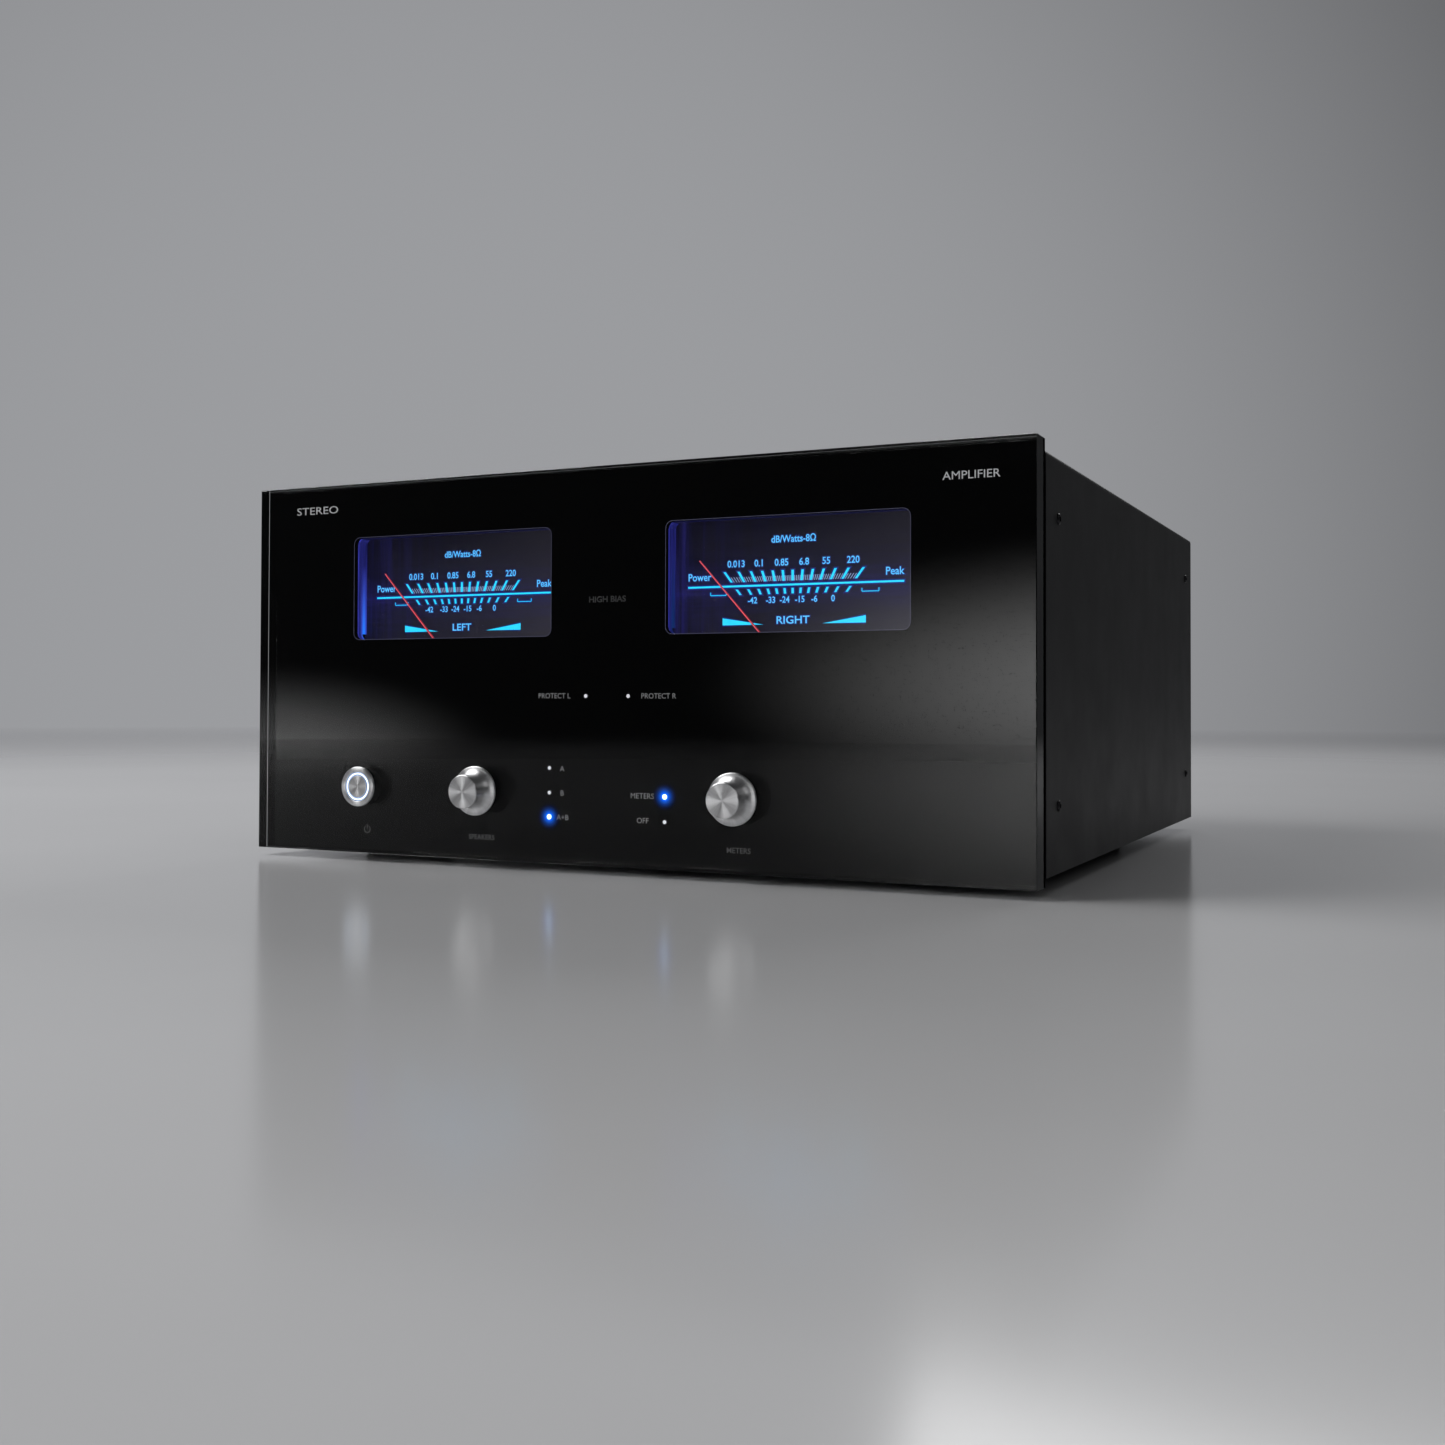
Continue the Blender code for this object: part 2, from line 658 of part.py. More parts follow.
def make_stud(name, x, height, face):
    """A threaded stud that stands out of a collar on the block's face."""
    collar_end = face + COLLAR_LENGTH
    profile = [
        (face - 1, 0), (face - 1, CAP_RADIUS), (collar_end, CAP_RADIUS),
        (collar_end, STUD_RADIUS), (collar_end + 18, STUD_RADIUS), (collar_end + 18, 0),
    ]
    return turned_along_depth("stud_" + name, profile, x, height, 16, "bare_steel")


def make_terminal_cap(name, x, height, start):
    """A screw cap with a bore that clears the stud."""
    bore, radius = STUD_RADIUS + 0.4, CAP_RADIUS
    profile = [
        (start, bore), (start, radius - 1), (start + 2, radius), (start + 17, radius),
        (start + 20.5, radius - 0.8), (start + 21.6, radius - 2), (start + 21.6, bore),
    ]
    turned_along_depth("terminal_cap_" + name, profile, x, height, 16, "black_plastic", ring=True)


def make_speaker_terminals(side_name, side):
    """A moulded block with two rows of studs, and a screw cap on each stud."""
    centre = (side * BLOCK_X, BLOCK_HEIGHT)
    front = REAR_PANEL[1] + GAP
    face = front + 4
    outline = rounded_rectangle(centre, BLOCK_FLANGE, 4)
    block = front_sheet(f"speaker_block_{side_name}", [outline], (front, face), "black_plastic")
    join(block, box_about(f"block_body_{side_name}", centre, BLOCK_BODY, (423, front + 1), "black_plastic"))
    for row, up in (("a", 1), ("b", -1)):
        for pole, across in (("plus", -1), ("minus", 1)):
            x = centre[0] + across * TERMINAL_PITCH[0] / 2
            height = centre[1] + up * TERMINAL_PITCH[1] / 2
            name = f"{side_name}_{row}_{pole}"
            join(block, make_stud(name, x, height, face))
            make_terminal_cap(name, x, height, face + COLLAR_LENGTH + GAP)


def make_line_inputs():
    """A small plate with two phono sockets."""
    x, height = LINE_INPUT
    front = REAR_PANEL[1] + GAP
    face = front + 1.5
    outline = rounded_rectangle(LINE_INPUT, LINE_FLANGE, 2, 2)
    plate = front_sheet("line_input_sockets", [outline], (front, face), "black_plastic")
    join(plate, box_about("line_body", LINE_INPUT, LINE_BODY, (418, front + 0.7), "black_plastic"))
    nut_end, barrel_end = face + 1.5, face + 8.5
    barrel = [
        (face - 0.5, 0), (face - 0.5, 6), (nut_end, 6),
        (nut_end, 4.15), (barrel_end, 4.15), (barrel_end, 0),
    ]
    bore_depth = (face + 0.5, barrel_end + 2)
    for side in (-1, 1):
        socket_x = x + side * LINE_PITCH / 2
        join(plate, turned_along_depth(f"barrel_{side}", barrel, socket_x, height, 20, "aluminium"))
        cut(plate, rod(f"barrel_bore_{side}", socket_x, bore_depth, height, 1.7, "aluminium", 12))


def make_balanced_input(side_name, side):
    """A round socket with a ring groove for the plug's shell, on a square flange."""
    x, height = side * BALANCED_X, LINE_INPUT[1]
    front = REAR_PANEL[1] + GAP
    face = front + 2.4
    outline = rounded_rectangle((x, height), BALANCED_FLANGE, 2, 2)
    socket = front_sheet(f"balanced_input_{side_name}", [outline], (front, face), "black_plastic")
    body = f"balanced_body_{side_name}"
    join(socket, rod(body, x, (412, front + 1), height, BALANCED_RADIUS, "black_plastic", 24))
    bottom, outside = front - 11, face + 2
    groove = [(bottom, 8.2), (bottom, 9.6), (outside, 9.6), (outside, 8.2)]
    cut(socket, turned_along_depth(f"groove_{side_name}", groove, x, height, 24, "black_plastic", ring=True))


def make_bias_switch():
    """A lever on a slider behind the rear panel, at the low-X end of its travel."""
    centre = (BIAS_SWITCH[0] - BIAS_TRAVEL / 2, BIAS_SWITCH[1])
    lever = box_about("bias_switch", centre, (3.2, 3.4), (428, 436.5), "black_plastic")
    join(lever, box_about("bias_slider", centre, (7, 8), (426, 429), "black_plastic"))


# ---------------------------------------------------------------- inside


def make_transformer():
    outer, height = TRANSFORMER_RADIUS, TRANSFORMER_HEIGHT
    hole, round_edge = 24.0, 12.0
    profile = arc((outer - round_edge, height - round_edge), round_edge, 90, 0, 3)
    profile += arc((outer - round_edge, round_edge), round_edge, 0, -90, 3)
    profile += arc((hole + round_edge, round_edge), round_edge, 270, 180, 3)
    profile += arc((hole + round_edge, height - round_edge), round_edge, 180, 90, 3)
    name, depth = "toroidal_transformer", TRANSFORMER_DEPTH
    turned_upright(name, profile, 0, depth, FLOOR, 28, "winding_tape", ring=True)


def make_heatsink(side_name, side):
    """Aluminium extrusion with upright fins that point outwards."""
    base, tip = HEATSINK_X
    root = base + HEATSINK_BASE
    outline = [(side * base, HEATSINK_START)]
    for number in range(FIN_COUNT):
        front = HEATSINK_START + number * FIN_PITCH
        rear = front + FIN_THICKNESS
        if number > 0:
            outline.append((side * root, front))
        outline += [(side * tip, front), (side * tip, rear)]
        if number < FIN_COUNT - 1:
            outline.append((side * root, rear))
    outline.append((side * base, rear))
    level_sheet(f"heatsink_{side_name}", [outline], (FLOOR, FLOOR + HEATSINK_HEIGHT), "aluminium")


def make_amplifier_board(side_name, side):
    """Upright board that stands along the heat sink's flat side."""
    outer = HEATSINK_X[0] - 9
    x = sorted((side * outer, side * (outer - BOARD_THICKNESS)))
    box(f"amplifier_board_{side_name}", x, AMPLIFIER_BOARD, (FLOOR + 6, FLOOR + 112), "board")


def make_power_supply():
    """A level board with the four reservoir capacitors standing on it."""
    width = (-POWER_SUPPLY_HALF_WIDTH, POWER_SUPPLY_HALF_WIDTH)
    board = (FLOOR + 10, FLOOR + 10 + BOARD_THICKNESS)
    box("power_supply_board", width, POWER_SUPPLY, board, "board")
    top = board[1] + GAP
    radius, height = CAPACITOR_RADIUS, CAPACITOR_HEIGHT
    profile = [
        (0, height - 1.5), (radius - 3, height - 1.5), (radius - 2, height), (radius, height - 1.5),
        (radius, 6), (radius - 1, 4.5), (radius, 3), (radius, 0), (0, 0),
    ]
    places = [(x, depth) for depth in CAPACITOR_DEPTHS for x in (-CAPACITOR_X, CAPACITOR_X)]
    for number, (x, depth) in enumerate(places, 1):
        turned_upright(f"reservoir_capacitor_{number}", profile, x, depth, top, 20, "sleeve")


def make_input_board():
    width = (-INPUT_BOARD_HALF_WIDTH, INPUT_BOARD_HALF_WIDTH)
    depth = (INPUT_BOARD_FRONT, INPUT_BOARD_FRONT + BOARD_THICKNESS)
    box("input_board", width, depth, INPUT_BOARD_HEIGHT, "board")


def make_all():
    make_front_glass()
    make_front_backplate()
    make_front_lights()
    make_power_button()
    make_rotary_control("speaker", SPEAKER)
    make_rotary_control("meter", METER_SWITCH)
    make_bulkhead()
    make_bottom_tray()
    make_top_cover()
    make_rear_panel()
    make_feet()
    make_mains_inlet()
    make_line_inputs()
    make_bias_switch()
    make_transformer()
    make_power_supply()
    make_input_board()
    for side_name, side in (("left", -1), ("right", 1)):
        make_meter(side_name, side)
        make_speaker_terminals(side_name, side)
        make_balanced_input(side_name, side)
        make_heatsink(side_name, side)
        make_amplifier_board(side_name, side)


clear_scene()
parts = new_collection(COLLECTION_NAME)
helpers = new_collection("helpers")
make_all()
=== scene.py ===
import json
import math

import bmesh
import bpy
from mathutils import Euler, Matrix, Vector


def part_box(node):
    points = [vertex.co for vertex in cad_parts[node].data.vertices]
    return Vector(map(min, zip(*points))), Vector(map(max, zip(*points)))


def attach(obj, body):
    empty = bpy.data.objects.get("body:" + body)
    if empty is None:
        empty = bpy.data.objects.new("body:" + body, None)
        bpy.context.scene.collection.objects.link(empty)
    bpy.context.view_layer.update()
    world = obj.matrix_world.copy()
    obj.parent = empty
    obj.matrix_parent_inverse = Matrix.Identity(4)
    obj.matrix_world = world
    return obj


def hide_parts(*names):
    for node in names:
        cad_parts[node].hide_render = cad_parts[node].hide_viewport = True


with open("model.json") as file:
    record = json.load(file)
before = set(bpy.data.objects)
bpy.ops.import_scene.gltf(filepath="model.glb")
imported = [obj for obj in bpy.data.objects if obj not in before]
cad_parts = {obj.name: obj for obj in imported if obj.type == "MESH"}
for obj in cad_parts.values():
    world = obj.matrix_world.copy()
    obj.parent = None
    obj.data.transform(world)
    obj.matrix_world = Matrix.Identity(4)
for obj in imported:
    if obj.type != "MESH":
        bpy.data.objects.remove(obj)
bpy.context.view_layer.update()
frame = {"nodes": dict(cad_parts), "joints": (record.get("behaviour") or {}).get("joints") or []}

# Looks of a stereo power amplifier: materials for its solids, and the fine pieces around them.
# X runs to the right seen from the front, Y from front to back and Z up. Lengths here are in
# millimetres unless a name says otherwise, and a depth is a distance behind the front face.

MM = 0.001
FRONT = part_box("front_glass")[0].y

TO_FRONT = Euler((math.radians(90), 0, 0))  # a piece's local Z points to the viewer
TO_BACK = Euler((math.radians(90), 0, math.radians(180)))  # local Z points backwards, local X to -X


def at(x, depth, height):
    """A place in metres from X, depth and height in millimetres."""
    return Vector((x * MM, FRONT + depth * MM, height * MM))


def depth_of(y):
    return (y - FRONT) / MM


def span(node):
    """X, depth and height of a CAD node, each as (low, high) in millimetres."""
    low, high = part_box(node)
    return (
        (low.x / MM, high.x / MM),
        (depth_of(low.y), depth_of(high.y)),
        (low.z / MM, high.z / MM),
    )


def middle(node):
    x, depth, height = span(node)
    return sum(x) / 2, sum(depth) / 2, sum(height) / 2


def add_object(name, data, place=(0, 0, 0), rotation=Euler()):
    obj = bpy.data.objects.new(name, data)
    bpy.context.scene.collection.objects.link(obj)
    obj.location = place
    obj.rotation_euler = rotation
    return obj


# ---------------------------------------------------------------- materials


class Nodes:
    """A node tree, with short names for what is done to it."""

    def __init__(self, tree):
        self.tree = tree

    def add(self, kind, **settings):
        node = self.tree.nodes.new(kind)
        for name, value in settings.items():
            setattr(node, name, value)
        return node

    def link(self, output, target):
        self.tree.links.new(output, target)

    def vector(self, operation, place, other=None, output="Vector"):
        """A vector operation on an output and a fixed vector."""
        node = self.add("ShaderNodeVectorMath", operation=operation)
        self.link(place, node.inputs[0])
        if other is not None:
            node.inputs[1].default_value = other
        return node.outputs[output]

    def spread(self, value, low, high, start=0.3, end=0.7, kind="LINEAR"):
        """Maps start..end of a value to low..high."""
        node = self.add("ShaderNodeMapRange", interpolation_type=kind)
        node.inputs["From Min"].default_value = start
        node.inputs["From Max"].default_value = end
        node.inputs["To Min"].default_value = low
        node.inputs["To Max"].default_value = high
        self.link(value, node.inputs["Value"])
        return node.outputs["Result"]

    def blend(self, factor, first, second):
        node = self.add("ShaderNodeMix", data_type="RGBA")
        self.link(factor, node.inputs["Factor"])
        for socket, value in ((node.inputs["A"], first), (node.inputs["B"], second)):
            if isinstance(value, tuple):
                socket.default_value = (*value, 1)
            else:
                self.link(value, socket)
        return node.outputs["Result"]


class Surface(Nodes):
    """A Principled material whose inputs are driven by procedural nodes."""

    def __init__(self, name, colour, roughness, metallic=0.0):
        self.material = bpy.data.materials.new(name)
        self.material.use_nodes = True
        super().__init__(self.material.node_tree)
        self.shader = self.tree.nodes["Principled BSDF"]
        self.set("Base Color", (*colour, 1))
        self.set("Roughness", roughness)
        self.set("Metallic", metallic)
        self.colour = colour
        self.roughness = roughness
        self.place = self.add("ShaderNodeTexCoord").outputs["Object"]

    def set(self, socket, value):
        self.shader.inputs[socket].default_value = value

    def feed(self, socket, output):
        self.link(output, self.shader.inputs[socket])

    def math(self, operation, a, b=0.0, c=0.0, clamp=False):
        node = self.add("ShaderNodeMath", operation=operation, use_clamp=clamp)
        for socket, value in zip(node.inputs, (a, b, c)):
            if isinstance(value, (int, float)):
                socket.default_value = value
            else:
                self.link(value, socket)
        return node.outputs[0]

    def times(self, value, *factors):
        for factor in factors:
            value = self.math("MULTIPLY", value, factor)
        return value

    def flat(self, x, y):
        """A vector of two values."""
        node = self.add("ShaderNodeCombineXYZ")
        self.link(x, node.inputs[0])
        self.link(y, node.inputs[1])
        return node.outputs[0]

    def bell(self, value, centre, width):
        """1 where the value is at the centre, and almost 0 two widths away."""
        off = self.math("DIVIDE", self.math("SUBTRACT", value, centre), width)
        return self.math("EXPONENT", self.times(off, off, -1))

    def noise(self, scale, detail=2.0, stretch=None, roughness=0.5, place=None):
        """Noise with features about 1/scale metres across, between 0 and 1."""
        node = self.add("ShaderNodeTexNoise")
        node.inputs["Scale"].default_value = scale
        node.inputs["Detail"].default_value = detail
        node.inputs["Roughness"].default_value = roughness
        place = place or self.place
        self.link(self.vector("MULTIPLY", place, stretch) if stretch else place, node.inputs["Vector"])
        return node.outputs["Fac"]

    def mottle(self, amount, scale):
        """Lets the colour drift a little lighter and darker."""
        darker = tuple(c * (1 - amount) for c in self.colour)
        lighter = tuple(min(1.0, c * (1 + amount)) for c in self.colour)
        factor = self.spread(self.noise(scale, 4), 0, 1)
        self.feed("Base Color", self.blend(factor, darker, lighter))
        return self

    def uneven(self, amount, scale):
        """Lets the roughness drift."""
        drift = self.spread(self.noise(scale, 3), self.roughness - amount, self.roughness + amount)
        self.feed("Roughness", drift)
        return self

    def bumps(self, height, depth, normal=None):
        """Adds a bump of this depth in millimetres to whatever bump there is."""
        node = self.add("ShaderNodeBump")
        node.inputs["Distance"].default_value = depth * MM
        self.link(height, node.inputs["Height"])
        if normal:
            self.link(normal, node.inputs["Normal"])
        self.feed("Normal", node.outputs["Normal"])
        return node.outputs["Normal"]

    def grain(self, scale, depth, detail=2.0, stretch=None):
        self.bumps(self.noise(scale, detail, stretch), depth)
        return self

    def glow(self, colour, strength):
        """Light of this colour, a little uneven over the surface."""
        self.set("Emission Color", (*colour, 1))
        self.feed("Emission Strength", self.spread(self.noise(250), strength * 0.94, strength * 1.06))
        return self

    def parts(self, vector):
        node = self.add("ShaderNodeSeparateXYZ")
        self.link(vector, node.inputs[0])
        return node.outputs

    def radius(self):
        """Distance from the local Z axis, in metres."""
        x, y, _ = self.parts(self.place)
        return self.math("SQRT", self.math("ADD", self.times(x, x), self.times(y, y)))


def powder_coat(name, colour, roughness=0.42):
    """Baked powder: an orange-peel skin with a finer tooth on it."""
    surface = Surface(name, colour, roughness)
    surface.mottle(0.12, 14).uneven(0.03, 35)
    peel = surface.bumps(surface.noise(900, 2), 0.02)
    surface.bumps(surface.noise(4200, 1), 0.008, peel)
    surface.set("Specular IOR Level", 0.3)
    return surface.material


def moulded(name, colour, roughness=0.5, grain=0.015, scale=2600):
    """Moulded plastic with a spark-eroded grain."""
    surface = Surface(name, colour, roughness)
    return surface.mottle(0.18, 45).uneven(0.07, 120).grain(scale, grain).material


def spun_metal(name, colour):
    """Metal turned about the piece's own Z axis: its lines run round it.

    On a turned end face the shine changes with the angle round the axis. Here that shine is painted into the
    colour:
    painted highlights in fans and in a bright bow to the left and right, lightened a little by the turning
    lines, over a painted shade at half the colour.
    """
    surface = Surface(name, colour, 0.38, 1.0)
    x, y, height = surface.parts(surface.place)
    radius = surface.math("MAXIMUM", surface.radius(), 0.0002)
    lines = surface.noise(4200, 3, place=surface.flat(radius, height))
    surface.bumps(lines, 0.0015)
    surface.feed("Roughness", surface.spread(lines, 0.32, 0.46))
    sideways = surface.math("DIVIDE", x, radius)
    upwards = surface.math("DIVIDE", y, radius)
    # Painted highlights in the colour: fans by the angle round the axis, and a bright bow to the left and
    # right, blended over a painted shade.
    painted_fans = surface.noise(2.3, 4, place=surface.flat(sideways, upwards))
    painted_bow = surface.math("POWER", surface.math("ABSOLUTE", sideways), 10)
    painted_shine = surface.math("MULTIPLY_ADD", painted_bow, 0.35, surface.spread(painted_fans, 0.0, 0.6))
    painted_shine = surface.math("MULTIPLY_ADD", lines, 0.25, painted_shine, clamp=True)
    painted_shade_colour = tuple(c * 0.5 for c in colour)
    surface.feed("Base Color", surface.blend(painted_shine, painted_shade_colour, colour))
    surface.set("Anisotropic", 0.85)
    surface.set("Anisotropic Rotation", 0.25)
    tangent = surface.add("ShaderNodeTangent", direction_type="RADIAL", axis="Z")
    surface.feed("Tangent", tangent.outputs[0])
    return surface.material


def plated(name, colour, roughness=0.2):
    """Plated metal, with faint marks from handling."""
    surface = Surface(name, colour, roughness, 1.0)
    return surface.mottle(0.12, 300).uneven(0.08, 500).grain(3000, 0.004).material


def bare_metal(name, colour):
    """Metal with a grain that is fine along the piece's Z axis."""
    surface = Surface(name, colour, 0.38, 1.0)
    return surface.mottle(0.15, 60).uneven(0.08, 90).grain(900, 0.02, 3, (1, 1, 30)).material


def circuit_board(name):
    surface = Surface(name, (0.012, 0.07, 0.03), 0.35)
    return surface.mottle(0.3, 60).uneven(0.1, 200).grain(1200, 0.02).material


def winding_tape(name):
    surface = Surface(name, (0.3, 0.19, 0.035), 0.3)
    return surface.mottle(0.25, 40).grain(160, 0.25, 2, (1, 1, 0.2)).material


def printed(name, grey, strength):
    """Grey print behind the plate. A faint light of its own stands for its contrast there."""
    return Surface(name, grey, 0.6).glow((0.5, 0.5, 0.52), strength).material


def lamp(name, colour, strength, base=(0.4, 0.4, 0.42)):
    return Surface(name, base, 0.35).glow(colour, strength).material


def clear_plate(name):
    """Thick clear plate: polished faces, edges polished a little less, faint smudges."""
    surface = Surface(name, (0.985, 0.992, 0.99), 0.0)
    surface.set("Transmission Weight", 1.0)
    surface.set("IOR", 1.49)
    surface.set("Specular Tint", (0.4, 0.4, 0.4, 1))
    geometry = surface.add("ShaderNodeNewGeometry")
    _, facing, _ = surface.parts(geometry.outputs["True Normal"])
    edge = surface.math("LESS_THAN", surface.math("ABSOLUTE", facing), 0.9)
    smudge = surface.spread(surface.noise(22, 5), 0.0, 0.018, 0.45, 0.8)
    surface.feed("Roughness", surface.math("MULTIPLY_ADD", edge, 0.05, smudge))
    return surface.material


def back_print(name):
    """Black paint on the back of the clear plate: it hardly shines, as it touches the plate."""
    surface = Surface(name, (0.0008, 0.0008, 0.0009), 0.8)
    surface.set("Specular IOR Level", 0.0)
    return surface.mottle(0.3, 30).uneven(0.1, 60).material


def ring_lens(name):
    """Lens of the ring round the button: white along its middle and blue at its edges."""
    surface = Surface(name, (0.05, 0.055, 0.06), 0.3)
    core = surface.bell(surface.radius(), 6.85 * MM, 0.6 * MM)
    surface.feed("Emission Color", surface.blend(core, (0.05, 0.22, 0.75), (0.85, 0.95, 1.0)))
    surface.feed("Emission Strength", surface.math("MULTIPLY_ADD", core, 1.9, 0.12))
    return surface.material


def dial_card(name, side):
    """Dark card with painted light: a glow from its left edge and along the print, with streaks in it, and a
    painted haze that grows to the right and downwards.
    """
    surface = Surface(name, (0.006, 0.0055, 0.009), 0.5)
    centre = middle(f"meter_dial_{side}")
    x, _, z = surface.parts(surface.place)
    left = surface.math("SUBTRACT", x, (centre[0] - 62) * MM)
    from_edge = surface.math("DIVIDE", left, 0.018)
    edge_light = surface.math("EXPONENT", surface.times(from_edge, -1))
    up = surface.math("ABSOLUTE", surface.math("SUBTRACT", z, 0.139))
    band = surface.math("EXPONENT", surface.times(up, -110))
    band = surface.times(band, surface.spread(surface.noise(60, 4, (0.6, 1, 9), 0.6), 0.1, 0.8))
    upright = surface.spread(surface.noise(260, 3, (1, 1, 0.03), 0.7), 0.1, 3.0, 0.42, 0.7)
    light = surface.math("MULTIPLY_ADD", band, 0.55, surface.times(edge_light, 0.2, upright))
    # Painted haze: the card's glow grows to the right and downwards.
    across = surface.math("DIVIDE", left, 0.125)
    below = surface.math("DIVIDE", surface.math("SUBTRACT", 0.172, z), 0.055)
    painted_haze = surface.math("MULTIPLY_ADD", below, 0.35, surface.times(across, 0.65), clamp=True)
    painted_haze = surface.math("POWER", painted_haze, 2.2)
    card = surface.blend(painted_haze, (0.0022, 0.002, 0.005), (0.03, 0.028, 0.036))
    surface.feed("Emission Color", surface.blend(light, card, (0.02, 0.018, 0.16)))
    surface.set("Emission Strength", 1.0)
    surface.set("Specular IOR Level", 0.2)
    return surface.grain(2400, 0.003).material


LINER_FRONT, LAMP_DEPTH = 15.1, 20.6  # depths of the liner's front edge and of the lamps at its left


def lit_liner(name, lamps):
    """Dark liner round a window, with painted light. Lamps at the left light its left wall, most at the
    bottom; a painted highlight runs along the front rim of its left and top walls, over a fainter painted
    glow, in streaks.
    """
    surface = Surface(name, (0.02, 0.02, 0.035), 0.35)
    _, height, forward = surface.parts(surface.place)
    depth = surface.times(forward, -1 / MM)
    rim = surface.bell(depth, LINER_FRONT + 0.4, 0.7)
    low = surface.spread(height, 1.0, 0.0, 0.122, 0.158)
    streaks = surface.spread(surface.noise(1500, 3, (1, 0.03, 1), 0.7), 0.3, 1.7)
    geometry = surface.add("ShaderNodeNewGeometry")
    to_right, _, upwards = surface.parts(geometry.outputs["Normal"])
    left_wall = surface.math("GREATER_THAN", to_right, 0.5)
    top_wall = surface.math("LESS_THAN", upwards, -0.5)
    lit = surface.times(surface.bell(depth, LAMP_DEPTH, 1.9), low, left_wall)
    # Painted light: a highlight along the front rim of the left and top walls, over a faint painted glow on
    # them, in streaks.
    painted_wall_light = surface.times(left_wall, surface.math("MULTIPLY_ADD", rim, 0.3, 0.11))
    painted_wall_light = surface.math("MULTIPLY_ADD", top_wall, surface.math("MULTIPLY_ADD", rim, 0.7, 0.02), painted_wall_light)
    painted_wall_light = surface.times(surface.math("ADD", painted_wall_light, 0.008), streaks)
    surface.feed("Emission Color", surface.blend(lit, (0.09, 0.1, 1.0), (0.015, 0.2, 1.0)))
    surface.feed("Emission Strength", surface.math("MULTIPLY_ADD", lit, lamps, painted_wall_light))
    return surface.material


def halo(name, colour, radius):
    """Light that a lamp scatters in the plate: it fades out from the middle."""
    surface = Surface(name, (0, 0, 0), 1.0)
    share = surface.math("DIVIDE", surface.radius(), radius * MM)
    fade = surface.math("SUBTRACT", 1.0, share, clamp=True)
    surface.set("Specular IOR Level", 0.0)
    surface.set("Emission Color", (*colour, 1))
    surface.feed("Emission Strength", surface.times(surface.math("POWER", fade, 4.5), 3.2))
    surface.feed("Alpha", surface.math("POWER", fade, 0.7))
    return surface.material


